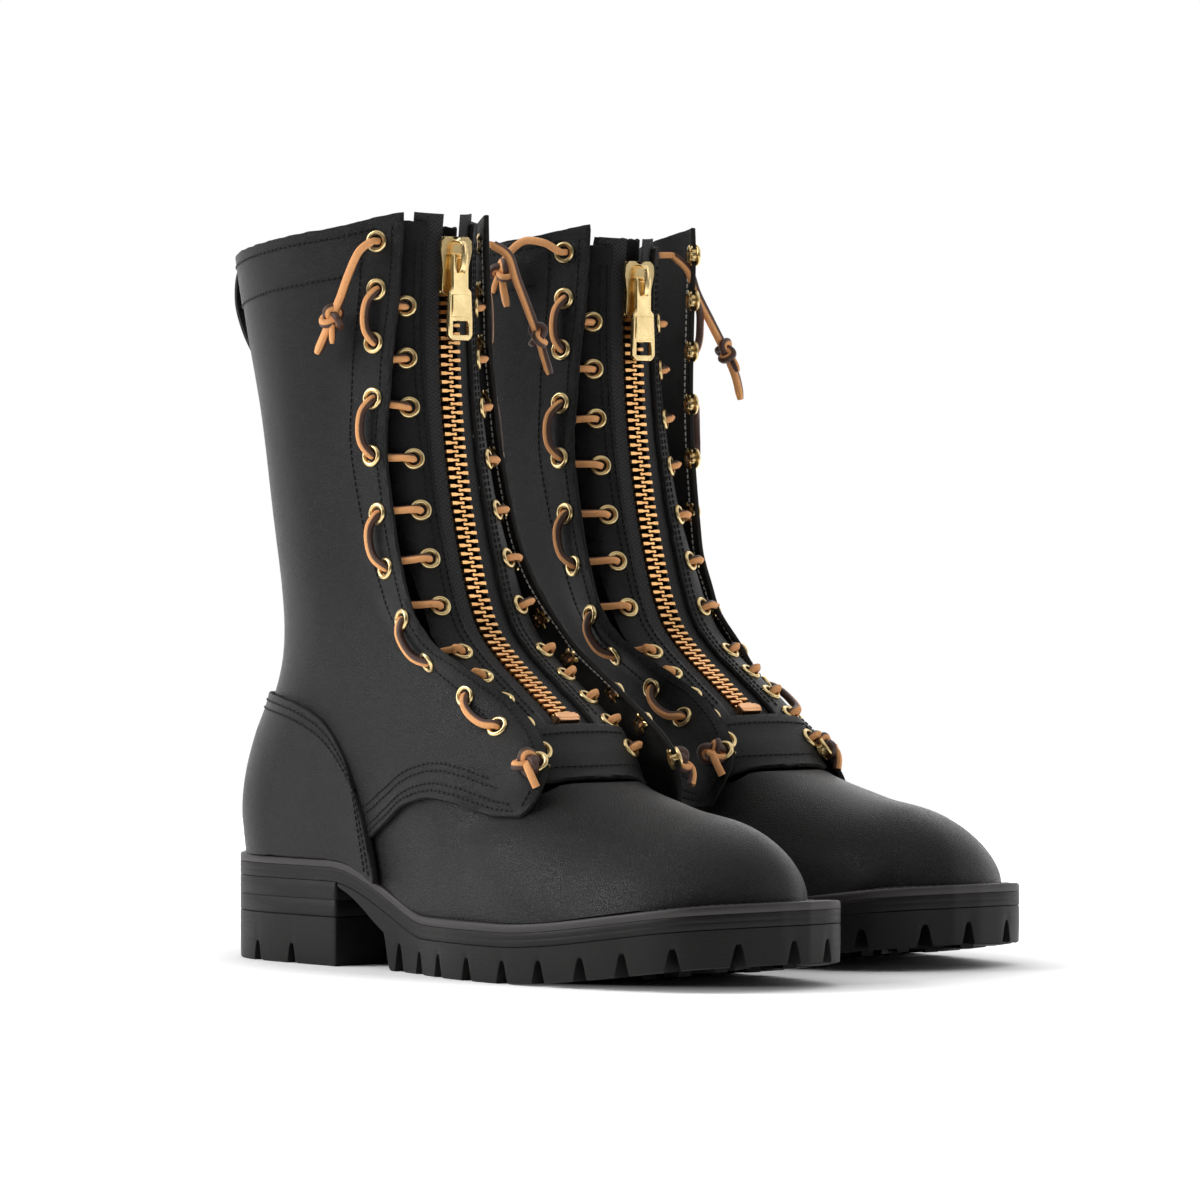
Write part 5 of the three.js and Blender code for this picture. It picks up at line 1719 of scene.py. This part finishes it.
    def forepart(self, foot: Foot) -> None:
        """The outsole: its plate, the lugs round its edge, and the lugs down its middle."""
        ring = self.outline(HEEL_BREAST + 0.6, SOLE_LENGTH)
        x = ring[:, 0]
        arch = graph([[88, 31.5], [96, 28.5], [104, 24], [112, 18.5], [120, 14], [130, 10.5], [140, 8.4]])
        plate = np.where(x < 140, arch(x), toe_lift(x) + self.lug + 0.9)
        top = welt_top(x) - self.welt - self.midsole - 0.15
        plate = np.minimum(plate, top - 1.6)
        centres = [(n, side.value * float(SOLE_WIDTH[side](n))) for n in self.notches for side in Side]
        depth = self.notch(ring, centres + list(self.toe_notches))
        tread = mix(toe_lift(x), plate, depth)
        tread = mix(plate, tread, smooth(119, 123.5, x))
        mesh = Raw()
        reach = 18.0 + 7.0 * smooth(150, 190, x)
        reach = np.minimum(reach, np.where(ring[:, 1] < 0, -ring[:, 1], ring[:, 1]) * 0.62 + 6)
        self.stack(mesh, ring, [(plate, reach, 0), (mix(tread, plate, 0.85), reach - 0.8, 0),
                                (tread, reach - 2.0, 0), (tread, 9.0, 0), (tread, 0.9, 0),
                                (tread + 0.5, 0.2, 0), (mix(tread, top, 0.5), 0.0, 0), (top - 0.3, 0.0, 0),
                                (top, 0.35, 0), (top, reach, 0)])
        rng = random.Random(7)
        for k, centre in enumerate(np.arange(158, 282, 20.5)):
            z0, z1 = float(toe_lift(centre)) + 0.2, float(toe_lift(centre)) + self.lug + 3
            spin, shift = (0.5 if k % 2 else -0.5), rng.uniform(-1, 1)
            arm = [(-9, -2.4), (9, -2.4), (9, 2.4), (-9, 2.4)]
            corners = []
            for z, grow in ((z0, 1.0), (z1, 1.12)):
                for a, b in arm:
                    corners.append([centre + (b * math.cos(spin) + a * math.sin(spin)) * grow,
                                    shift + (a * math.cos(spin) - b * math.sin(spin)) * grow, z])
            block(mesh, np.array(corners)[[0, 3, 2, 1, 4, 7, 6, 5]])
            for side in (-1, 1):
                y = side * 17.0
                if abs(y) < 40:
                    tip = [[centre + 6 + dx, y + side * dy, z] for z in (z0, z1)
                           for dx, dy in ((-3.4, -2.2), (3.4, -3.2), (3.8, 3.4), (-2.6, 2.6))]
                    order = [0, 1, 2, 3, 4, 5, 6, 7] if side > 0 else [0, 3, 2, 1, 4, 7, 6, 5]
                    block(mesh, np.array(tip)[order])
        mesh.build("outsole", foot, SOLE, replaces=("outsole",), sharp=32)

    def heel(self, foot: Foot) -> None:
        """The heel base, and the lugged lift under it."""
        ring = self.outline(-3, HEEL_BREAST)
        x = ring[:, 0]
        top = welt_top(x) - self.welt - self.midsole - 0.15
        split = self.heel_split
        base = Raw()
        groove = mix(split, top, 0.48)
        self.stack(base, ring, [(split + 0.15, 0.4, 0), (split + 0.5, 0.05, 0), (groove - 0.3, 0.0, 0),
                                (groove, 0.3, 0), (groove + 0.3, 0.0, 0), (top - 0.4, 0.0, 0), (top, 0.4, 0)])
        base.build("heel_base", foot, SOLE, replaces=("heel_base",), sharp=50)
        centres = [(n, side.value * float(SOLE_WIDTH[side](n))) for n in self.heel_notches for side in Side]
        centres += [(HEEL_BREAST, -14), (HEEL_BREAST, 14), (-3, 0)]
        depth = self.notch(ring, centres, 2.6, 1.3)
        tread = 7.5 * depth
        lift = Raw()
        reach = 13.0
        self.stack(lift, ring, [(7.5, reach, 0), (7.0, reach - 0.6, 0), (tread, reach - 1.4, 0),
                                (tread, 0.9, 0), (tread + 0.5, 0.2, 0), (mix(tread, split, 0.6), 0.0, 0),
                                (split - 0.3, 0.0, 0), (split, 0.35, 0), (split, reach, 0)])
        for a, b in ((20, 38), (46, 66)):
            for y in (-11.5, 3.5):
                corners = [[px, py, z] for z in (0.2, 8.5)
                           for px, py in ((a, y), (b, y), (b, y + 8), (a, y + 8))]
                block(lift, np.array(corners))
        lift.build("heel_lift", foot, SOLE, replaces=("heel_lift",), sharp=32)


# ---- Eyelets and laces --------------------------------------------------------------------------
@dataclass
class Eyelet:
    """Where an eyelet sits: its centre on the leather, and the way it faces."""

    centre: Array
    normal: Array


@dataclass
class Eyelets:
    """The brass eyelets of the quarters and of the zip panels."""

    quarter_places: Sequence[tuple[float, float, float]] = (
        (97.5, 26.3, 283.8), (98.7, 28, 265), (98.9, 29.5, 244.1), (100, 30.7, 222.3),
        (100.4, 31.5, 199.8), (104.7, 32, 177.3), (110.3, 32.5, 155.9), (121.2, 32.7, 136.1),
        (136, 32.6, 119.7), (158.5, 32, 107.1), (177.1, 31.3, 95.9), (200.3, 30.4, 83.1))
    searched: int = 34
    panel_heights: Sequence[float] = (258.3, 239.3, 219.6, 200.3, 180.6, 161.6, 142.7, 126.0)
    further: int = 4

    def on_quarter(self, foot: Foot, side: Side) -> list[Eyelet]:
        """The twelve eyelets along a quarter's front edge."""
        grid, normals, thick = Quarters().sheet(foot, side)
        face = (grid + normals * thick[..., None])[:, -self.searched:]
        normals = normals[:, -self.searched:]
        last = self.searched - 1
        t = np.linspace(0, last, last * 5 + 1)
        i = np.minimum(t.astype(int), last - 1)
        w = (t - i)[None, :, None]
        face = mix(face[:, i], face[:, i + 1], w)
        normals = unit(mix(normals[:, i], normals[:, i + 1], w))
        out = []
        for x, y, z in self.quarter_places:
            seen = SEEN_X * (face[..., 0] - x) - SEEN_Y * (np.abs(face[..., 1]) - y)
            best = int(np.argmin(seen**2 + (face[..., 2] - z) ** 2))
            row, column = divmod(best, face.shape[1])
            slope = face[min(row + 1, len(face) - 1), column] - face[row, column]
            rise = (z - face[row, column, 2]) / slope[2] if abs(slope[2]) > 0.4 else 0.0
            out.append(Eyelet(face[row, column] + slope * min(max(rise, -1.0), 1.0), normals[row, column]))
        return out

    def on_panel(self, foot: Foot, side: Side) -> list[Eyelet]:
        """The twelve eyelets along a zip panel's outer edge."""
        runs = [FORM.run_at_height(z - foot.zip_drop * 0.4) for z in self.panel_heights]
        step = (FORM.run_at_x(193.5) - runs[-1]) / self.further
        runs += [runs[-1] + step * (k + 1) for k in range(self.further)]
        out = []
        for run in runs:
            share = (run - runs[0]) / (runs[-1] - runs[0])
            y = side.value * mix(18.4, 22.0, share)
            runs_around = np.array([[run - 1, run - 1], [run + 1, run + 1]])
            grid = FORM.front(runs_around, np.array([[y - 1, y + 1]] * 2))
            normal = grid_normals(grid, np.broadcast_to([1.0, side.value * 0.6, 1.0], grid.shape))[0, 0]
            lift = LAYER["panel"] + 2.0 if run < FORM.run_at_x(187) else LAYER["panel"] + 4.3
            out.append(Eyelet(grid.mean((0, 1)) + normal * lift, normal))
        return out

    @staticmethod
    def ring(mesh: Raw, eyelet: Eyelet, outer: float, hole: float) -> None:
        """Adds one eyelet's rolled ring."""
        middle, half = (outer + hole) / 2, (outer - hole) / 2
        t = np.linspace(0, 2 * math.pi, 12, endpoint=False)
        profile = [(middle + half * math.cos(a), 0.1 + max(math.sin(a), 0.6 * math.sin(a))) for a in t]
        revolve(mesh, eyelet.centre, eyelet.normal, profile, 30)
        barrel = [(hole - 0.05, -3.2), (hole + 0.25, -3.2), (hole + 0.25, 0.1), (hole - 0.05, 0.1)]
        revolve(mesh, eyelet.centre, eyelet.normal, barrel, 24)

    @staticmethod
    def shadow(mesh: Raw, eyelet: Eyelet, hole: float) -> None:
        """Adds a near-black plug inside an eyelet's barrel: painted shade that stands in for the depth seen
        through it.
        """
        plug = [(0.01, -1.9), (hole, -1.9), (hole, -0.9), (0.01, -0.9)]
        revolve(mesh, eyelet.centre, eyelet.normal, plug, 20)

    @staticmethod
    def petals(mesh: Raw, eyelet: Eyelet, depth: float, outer: float, hole: float) -> None:
        """Adds the split and clenched back of an eyelet."""
        a = unit(np.cross(eyelet.normal, [0.1, 0.2, 0.97]))
        b = np.cross(eyelet.normal, a)
        for k in range(6):
            t = k / 6 * 2 * math.pi
            ring = a * math.cos(t) + b * math.sin(t)
            over = a * -math.sin(t) + b * math.cos(t)
            base = eyelet.centre - eyelet.normal * depth
            steps = ((hole - 0.1, 0.5), (hole + 0.6, -0.5), (outer - 0.4, -0.3), (outer, 0.1))
            path = np.array([base + ring * away + eyelet.normal * up for away, up in steps])
            sweep(mesh, path, oval(2.2, 0.5, 3, 10), hint=over, scale=np.array([1, 1.1, 0.9, 0.3]))

    def build(self, foot: Foot) -> None:
        """Makes all of a boot's eyelets."""
        for side in Side:
            rings, shade_plugs, backs = Raw(), Raw(), Raw()
            for eyelet in self.on_quarter(foot, side):
                self.ring(rings, eyelet, 4.45, 2.55)
                self.shadow(shade_plugs, eyelet, 2.6)
                self.petals(backs, eyelet, LEATHER + 0.2, 4.6, 2.5)
            for eyelet in self.on_panel(foot, side):
                self.ring(rings, eyelet, 4.35, 2.5)
                self.shadow(shade_plugs, eyelet, 2.55)
            rings.build(f"{side.label}_eyelets", foot, EYELET_BRASS, sharp=70)
            # the plugs are painted shade inside the eyelets
            shade_plugs.build(f"{side.label}_eyelet_holes", foot, EYELET_SHADE)
            backs.build(f"{side.label}_eyelet_backs", foot, EYELET_BRASS)


@dataclass
class Laces:
    """The hide lace of each side: outer stretches, crossings to the panels, and the foot knots."""

    width: float = 3.3
    thick: float = 3.0
    outer: Sequence[int] = (1, 3, 5, 7, 9)

    def section(self) -> Array:
        """The lace's cut section."""
        return oval(self.width, self.thick, 3.4, 20)

    def build(self, foot: Foot) -> None:
        """Makes both laces of a boot."""
        eyelets = Eyelets()
        for side in Side:
            mesh = Raw()
            rng = random.Random(100 + int(side.value) + 10 * int(foot.sign))
            outside, inside = eyelets.on_quarter(foot, side), eyelets.on_panel(foot, side)
            for k in self.outer:
                self.stretch(mesh, outside[k], outside[k + 1], rng)
            for k, eyelet in enumerate(inside):
                self.crossing(mesh, side, eyelet, 1.0 if k < 7 else 0.55, rng)
            self.foot_knot(mesh, outside[11])
            mesh.build(f"{side.label}_lace", foot, LACE, replaces=(f"{side.label}_lace",))

    def stretch(self, mesh: Raw, a: Eyelet, b: Eyelet, rng: random.Random) -> None:
        """Adds the stretch on the quarter's face from one eyelet to the next."""
        back = unit(np.cross(b.centre - a.centre, (a.normal + b.normal)))
        if back[0] > 0:
            back = -back
        n = unit(a.normal + b.normal)
        bulge, rise = rng.uniform(2.6, 4.2), rng.uniform(2.8, 3.6)
        span = b.centre - a.centre
        path = np.array([a.centre - a.normal * 2.6 + span * 0.02, a.centre + a.normal * 0.7 + span * 0.03,
                         a.centre + span * 0.22 + n * rise * 0.85 + back * bulge * 0.75,
                         a.centre + span * 0.5 + n * rise + back * bulge,
                         a.centre + span * 0.78 + n * rise * 0.85 + back * bulge * 0.75,
                         b.centre + b.normal * 0.7 - span * 0.03, b.centre - b.normal * 2.6 - span * 0.02])
        line = spline(path, 44)
        turn = np.linspace(rng.uniform(-0.5, 0.1), rng.uniform(-0.1, 0.5), 45)
        sweep(mesh, line, self.section(), hint=unit(back * 0.6 - unit(span)), twist=turn)

    def crossing(self, mesh: Raw, side: Side, eyelet: Eyelet, reach: float, rng: random.Random) -> None:
        """Adds the stretch from under the quarter's edge into a panel eyelet."""
        n = eyelet.normal
        aside = np.array([-5.0 + 0.02 * (eyelet.centre[0] - 100), side.value * 10.5, rng.uniform(-1.2, 2.0)])
        along = unit(aside - n * float(aside @ n))
        hidden = eyelet.centre + along * 11.0 * reach - np.array([2.0, 0, 0]) + n * 0.4
        path = np.array([hidden + along * 3.5 * reach - n * 0.8, hidden,
                         eyelet.centre + along * 7.2 * reach + n * 1.5,
                         eyelet.centre + along * 3.4 + n * 2.4, eyelet.centre + along * 0.6 + n * 1.2,
                         eyelet.centre - n * 2.4])
        line = spline(path, 30)
        sweep(mesh, line, self.section() * 0.9, hint=unit(n - np.array([0, 0, 0.8])),
              twist=np.linspace(-0.2, rng.uniform(0.0, 0.7), 31))

    def foot_knot(self, mesh: Raw, eyelet: Eyelet) -> None:
        """Adds the knot that stops the lace outside its lowest eyelet."""
        n = eyelet.normal
        out = unit(np.array([-0.75, 0.0, -0.45]))
        knot = eyelet.centre + n * 4.2 + out * 5.0
        knot_lump(mesh, knot, n, 6.5, self.section() * 1.08)
        stem = np.array([eyelet.centre - n * 2.5, eyelet.centre + n * 0.5,
                         eyelet.centre + n * 3.0 + out * 1.0, knot])
        sweep(mesh, spline(stem, 16), self.section(), hint=out)
        ahead = np.array([0.55, 0, -0.85])
        tail = np.array([knot, knot + ahead * 3.4 + n * 2.6, knot + ahead * 7.0 + n * 2.4,
                         knot + ahead * 10.6 + n * 0.4])
        sweep(mesh, spline(tail, 16), self.section(), hint=n)


def knot_lump(mesh: Raw, centre: Array, normal: Array, size: float, section: Array) -> None:
    """Adds a tight overhand knot.

    Args:
        mesh: the mesh it is added to.
        centre: its middle.
        normal: the direction it is seen from.
        size: its half-width.
        section: the lace's section.
    """
    a = unit(np.cross(normal, [0.2, 0.1, 0.97]))
    b = np.cross(normal, a)
    t = np.linspace(0, 2 * math.pi * 0.985, 72)
    u = (np.sin(t) + 2 * np.sin(2 * t)) / 3
    v = (np.cos(t) - 2 * np.cos(2 * t)) / 3
    w = -np.sin(3 * t) * 0.42
    line = centre + (a * u[:, None] + b * v[:, None] * 0.9 + normal * w[:, None]) * (size * 0.72)
    sweep(mesh, line, section, hint=normal)


@dataclass
class LaceTails:
    """The laces' free ends, hanging from the top eyelets, each with its knot."""

    diameter: float = 3.6
    knot_at: int = 4
    routes: dict = field(default_factory=lambda: {
        (Foot.RIGHT, Side.LATERAL): ((96, 284, 2), (92, 280, 4), (88, 271, 4), (85, 262, 4), (82, 254, 4.5),
                                     (79, 247, 4), (76, 240, 4)),
        (Foot.RIGHT, Side.MEDIAL): ((96, 284, 2), (97, 280, 8), (96, 270, 12), (95, 258, 17), (95, 247, 21),
                                    (96, 239, 23), (97, 231, 25)),
        (Foot.LEFT, Side.LATERAL): ((96, 284, 2), (98, 278, 8), (97, 268, 12), (97, 256, 18), (98, 243, 24),
                                    (99, 232, 28), (99, 222, 30)),
        (Foot.LEFT, Side.MEDIAL): ((96, 284, 2), (91, 288, 4), (84, 289, 5), (78, 284, 5), (75, 277, 5),
                                   (75, 270, 4.5), (76, 262, 4)),
    })

    def build(self) -> None:
        """Makes all four tails."""
        for (foot, side), route in self.routes.items():
            skin = 5.2 + self.diameter / 2
            places = [FORM.skin(np.array([x]), np.array([z]), side, skin + off - 1.5) for x, z, off in route]
            points = np.array([p[0][0] for p in places])
            normals = np.array([p[1][0] for p in places])
            line = spline(points, 18)
            mesh = Raw()
            fine = spline(points, 60)
            scale = np.concatenate([np.ones(56), np.linspace(1, 0.72, 5)])
            seen = 1.0 if (foot, side) in ((Foot.RIGHT, Side.LATERAL), (Foot.LEFT, Side.MEDIAL)) else -1.0
            section = oval(self.diameter * 0.96, self.diameter * 0.86, 3.4, 20)
            sweep(mesh, fine, section, hint=normals[0] * seen,
                  twist=np.linspace(-0.3, 0.7, 61), scale=scale)
            tail = mesh.build(f"{side.label}_lace_tail", foot, LACE, replaces=(f"{side.label}_lace_tail",))
            lump = Raw()
            at = self.knot_at
            normal = normals[at]
            knot_lump(lump, points[at], normal, 6.3, oval(3.3, 2.7, 3.2, 16))
            down = unit(points[at + 1] - points[at])
            split = unit(np.cross(normal, down))
            second = np.array([points[at], points[at] + down * 4.2 + split * 2.4 + normal * 0.8,
                               points[at] + down * 9 + split * 4.4 + normal * 0.4])
            sweep(lump, spline(second, 14), oval(2.9, 2.3, 3.2, 16), hint=normal,
                  scale=np.concatenate([np.ones(11), np.linspace(0.95, 0.6, 4)]))
            first = points[0]
            stem = np.array([first - normals[0] * 7.0 + np.array([1.2, 0, -0.2]),
                             first - normals[0] * 3.2 + np.array([0.7, 0, 0]),
                             first - normals[0] * 0.6, first + (points[1] - points[0]) * 0.3])
            sweep(lump, spline(stem, 12), oval(3.2, 2.6, 3.2, 16), hint=np.array([1.0, 0, 0]))
            knot = lump.build(f"{side.label}_tail_knot", foot, LACE)
            row = foot.to_row(line)


# ---- Light and camera ---------------------------------------------------------------------------
@dataclass
class Studio:
    """A white studio: floor, soft boxes, white surroundings and the camera."""

    lens: float = 212.81
    camera_at: tuple[float, float, float] = (2.14103, -1.82960, 0.1801)
    camera_along: tuple[float, float, float] = (-0.7607, 0.6490, -0.0132)
    glow_towards: tuple[float, float, float] = (-0.66, 0.63, -0.4)
    glow_from: float = 0.0
    glow_low: float = 0.07
    glow_high: float = 2.2

    def camera(self) -> None:
        """Makes the camera."""
        data = bpy.data.cameras.new("camera")
        data.lens, data.sensor_width, data.sensor_fit = self.lens, 36.0, "HORIZONTAL"
        data.clip_start, data.clip_end = 0.1, 60.0
        camera = bpy.data.objects.new("camera", data)
        bpy.context.scene.collection.objects.link(camera)
        camera.location = self.camera_at
        camera.rotation_euler = Vector(self.camera_along).to_track_quat("-Z", "Y").to_euler()
        bpy.context.scene.camera = camera

    def floor(self) -> None:
        """Makes the white floor."""
        rings, count = (0.0, 0.5, 0.9, 1.3), 96
        points = [(0.0, 0.0, 0.0)]
        faces = []
        for radius in rings[1:]:
            for k in range(count):
                t = k / count * 2 * math.pi
                points.append((radius * math.cos(t), radius * math.sin(t), -0.0002))
        for k in range(count):
            faces.append((0, 1 + k, 1 + (k + 1) % count))
        for r in range(len(rings) - 2):
            for k in range(count):
                a, b = 1 + r * count + k, 1 + r * count + (k + 1) % count
                faces.append((a, a + count, b + count, b))
        mesh = bpy.data.meshes.new("floor")
        mesh.from_pydata(points, [], faces)
        mesh.materials.append(PaleFloor("studio_paper", "leather").material())
        mesh.shade_smooth()
        floor = bpy.data.objects.new("floor", mesh)
        bpy.context.scene.collection.objects.link(floor)

    @staticmethod
    def softbox(name: str, at: Sequence[float], to: Sequence[float], size: tuple[float, float],
                power: float) -> None:
        """Makes a rectangular soft light.

        Args:
            name: its name.
            at: where it stands.
            to: what it faces.
            size: its width and height.
            power: watts.
        """
        data = bpy.data.lights.new(name, "AREA")
        data.shape, data.size, data.size_y, data.energy = "RECTANGLE", size[0], size[1], power
        light = bpy.data.objects.new(name, data)
        light.location = at
        light.rotation_euler = (Vector(to) - Vector(at)).to_track_quat("-Z", "Y").to_euler()
        bpy.context.scene.collection.objects.link(light)

    def surroundings(self) -> None:
        """Makes the surroundings: white to look at, and a soft gradient to be lit by."""
        world = bpy.data.worlds.new("studio")
        bpy.context.scene.world = world
        nodes = NodeWriter(world)
        place = nodes.add("ShaderNodeTexCoord", {}, {}).outputs["Generated"]
        facing = nodes.add("ShaderNodeVectorMath", {"operation": "DOT_PRODUCT"},
                           {0: place, 1: self.glow_towards})
        glow = nodes.add("ShaderNodeMapRange", {"interpolation_type": "SMOOTHSTEP"}, {
            0: facing.outputs["Value"], 1: self.glow_from, 2: 1.0, 3: self.glow_low, 4: self.glow_high})
        lit = nodes.add("ShaderNodeBackground", {}, {0: rgba(1.0, 1.0, 1.0), 1: glow.outputs[0]})
        seen = nodes.add("ShaderNodeBackground", {}, {0: rgba(1.0, 1.0, 1.0), 1: 1.0})
        path = nodes.add("ShaderNodeLightPath", {}, {})
        pick = nodes.add("ShaderNodeMixShader", {}, {
            0: path.outputs["Is Camera Ray"], 1: lit.outputs[0], 2: seen.outputs[0]})
        nodes.add("ShaderNodeOutputWorld", {}, {0: pick.outputs[0]})

    def build(self) -> None:
        """Makes the floor, the lights and the colour handling."""
        self.floor()
        self.surroundings()
        middle = (0.0, 0.0, 0.15)
        self.softbox("left_box", (-1.25, -1.9, 1.3), middle, (1.4, 1.7), 54)
        self.softbox("top_box", (-0.8, 0.8, 2.5), (-0.8, 0.8, 0.0), (7.0, 7.0), 120)
        self.softbox("right_box", (1.9, 1.7, 1.0), middle, (1.0, 1.6), 9)
        bpy.context.scene.view_settings.view_transform = "Standard"
        bpy.context.scene.view_settings.look = "None"


@dataclass
class Fittings:
    """The hidden stiffeners: the toe puff is shaped here, and the others only take a finish."""

    finishes: dict = field(default_factory=lambda: {
        "counter_stiffener": BOARD, "shank": SHANK})

    def dress(self, foot: Foot) -> None:
        """Puts the hidden parts in their finishes."""
        for node, finish in self.finishes.items():
            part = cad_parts[f"{foot.label}_{node}"]
            part.data.materials.clear()
            part.data.materials.append(finish.material())
        self.toe_puff(foot)
        self.insole(foot)

    @staticmethod
    def insole(foot: Foot) -> None:
        """Makes the board under the foot, inside the upper."""
        x = mix(20.0, 266.0, (1 - np.cos(np.linspace(0, math.pi, 120))) / 2)
        taper = np.sqrt(np.clip(1 - np.abs((x - 143) / 123.0) ** 7, 0, 1))
        height = welt_top(x) + 4.0
        lateral = np.stack([x, -(FORM.half_width(x, height, Side.LATERAL) - 7.5) * taper], 1)
        medial = np.stack([x, (FORM.half_width(x, height, Side.MEDIAL) - 7.5) * taper], 1)
        ring = np.concatenate([lateral, medial[::-1][1:-1]])
        mesh = Raw()
        seat = welt_top(ring[:, 0])
        levels = ((1.8, 0.5), (2.2, 0.0), (4.0, 0.0), (4.4, 0.5))
        Sole().stack(mesh, ring, [(seat + up, inset, 0.0) for up, inset in levels])
        mesh.build("insole", foot, BOARD, replaces=("insole",))

    @staticmethod
    def toe_puff(foot: Foot) -> None:
        """Makes the stiffener inside the vamp, over the toes."""
        s = np.linspace(1.0, 0.62, 12)
        x = np.concatenate([[237.0, 243.0], FORM.toe_point(s)[0]])
        ridge = np.interp(x, FORM.crest[-130:, 0], FORM.crest[-130:, 1])
        t = np.linspace(0, math.pi, 41)[None, :]
        z = mix(welt_top(x)[:, None] + 12.0, ridge[:, None], np.sin(t))
        wide = np.broadcast_to(x[:, None], z.shape)
        outer, inner = -FORM.half_width(wide, z, Side.LATERAL), FORM.half_width(wide, z, Side.MEDIAL)
        y = np.where(t < math.pi / 2, outer, inner)
        y[:, 20] = 0.0
        grid = np.stack([wide, y, z], -1)
        normals = grid_normals(grid, np.stack([np.full(y.shape, 0.3), np.sign(y), np.full(y.shape, 0.8)], -1))
        mesh = Raw()
        hide(mesh, grid, normals, -7.0, -5.2, 0.0, seed=61)
        mesh.build("toe_box", foot, BOARD, replaces=("toe_box",))


def main() -> None:
    """Builds the pair, and reports each part."""
    logging.basicConfig(level=logging.INFO, format="%(message)s")
    studio = Studio()
    studio.camera()
    LaceTails().build()
    for foot in Foot:
        for part in (Sole(), Vamp(), HeelCounter(), Quarters(), Backstay(), ZipInsert(), Slider(),
                     Eyelets(), Laces()):
            part.build(foot)
            LOG.info("%s boot: %s", foot.label, type(part).__name__)
        Fittings().dress(foot)
    studio.build()


if __name__ == "__main__":
    main()
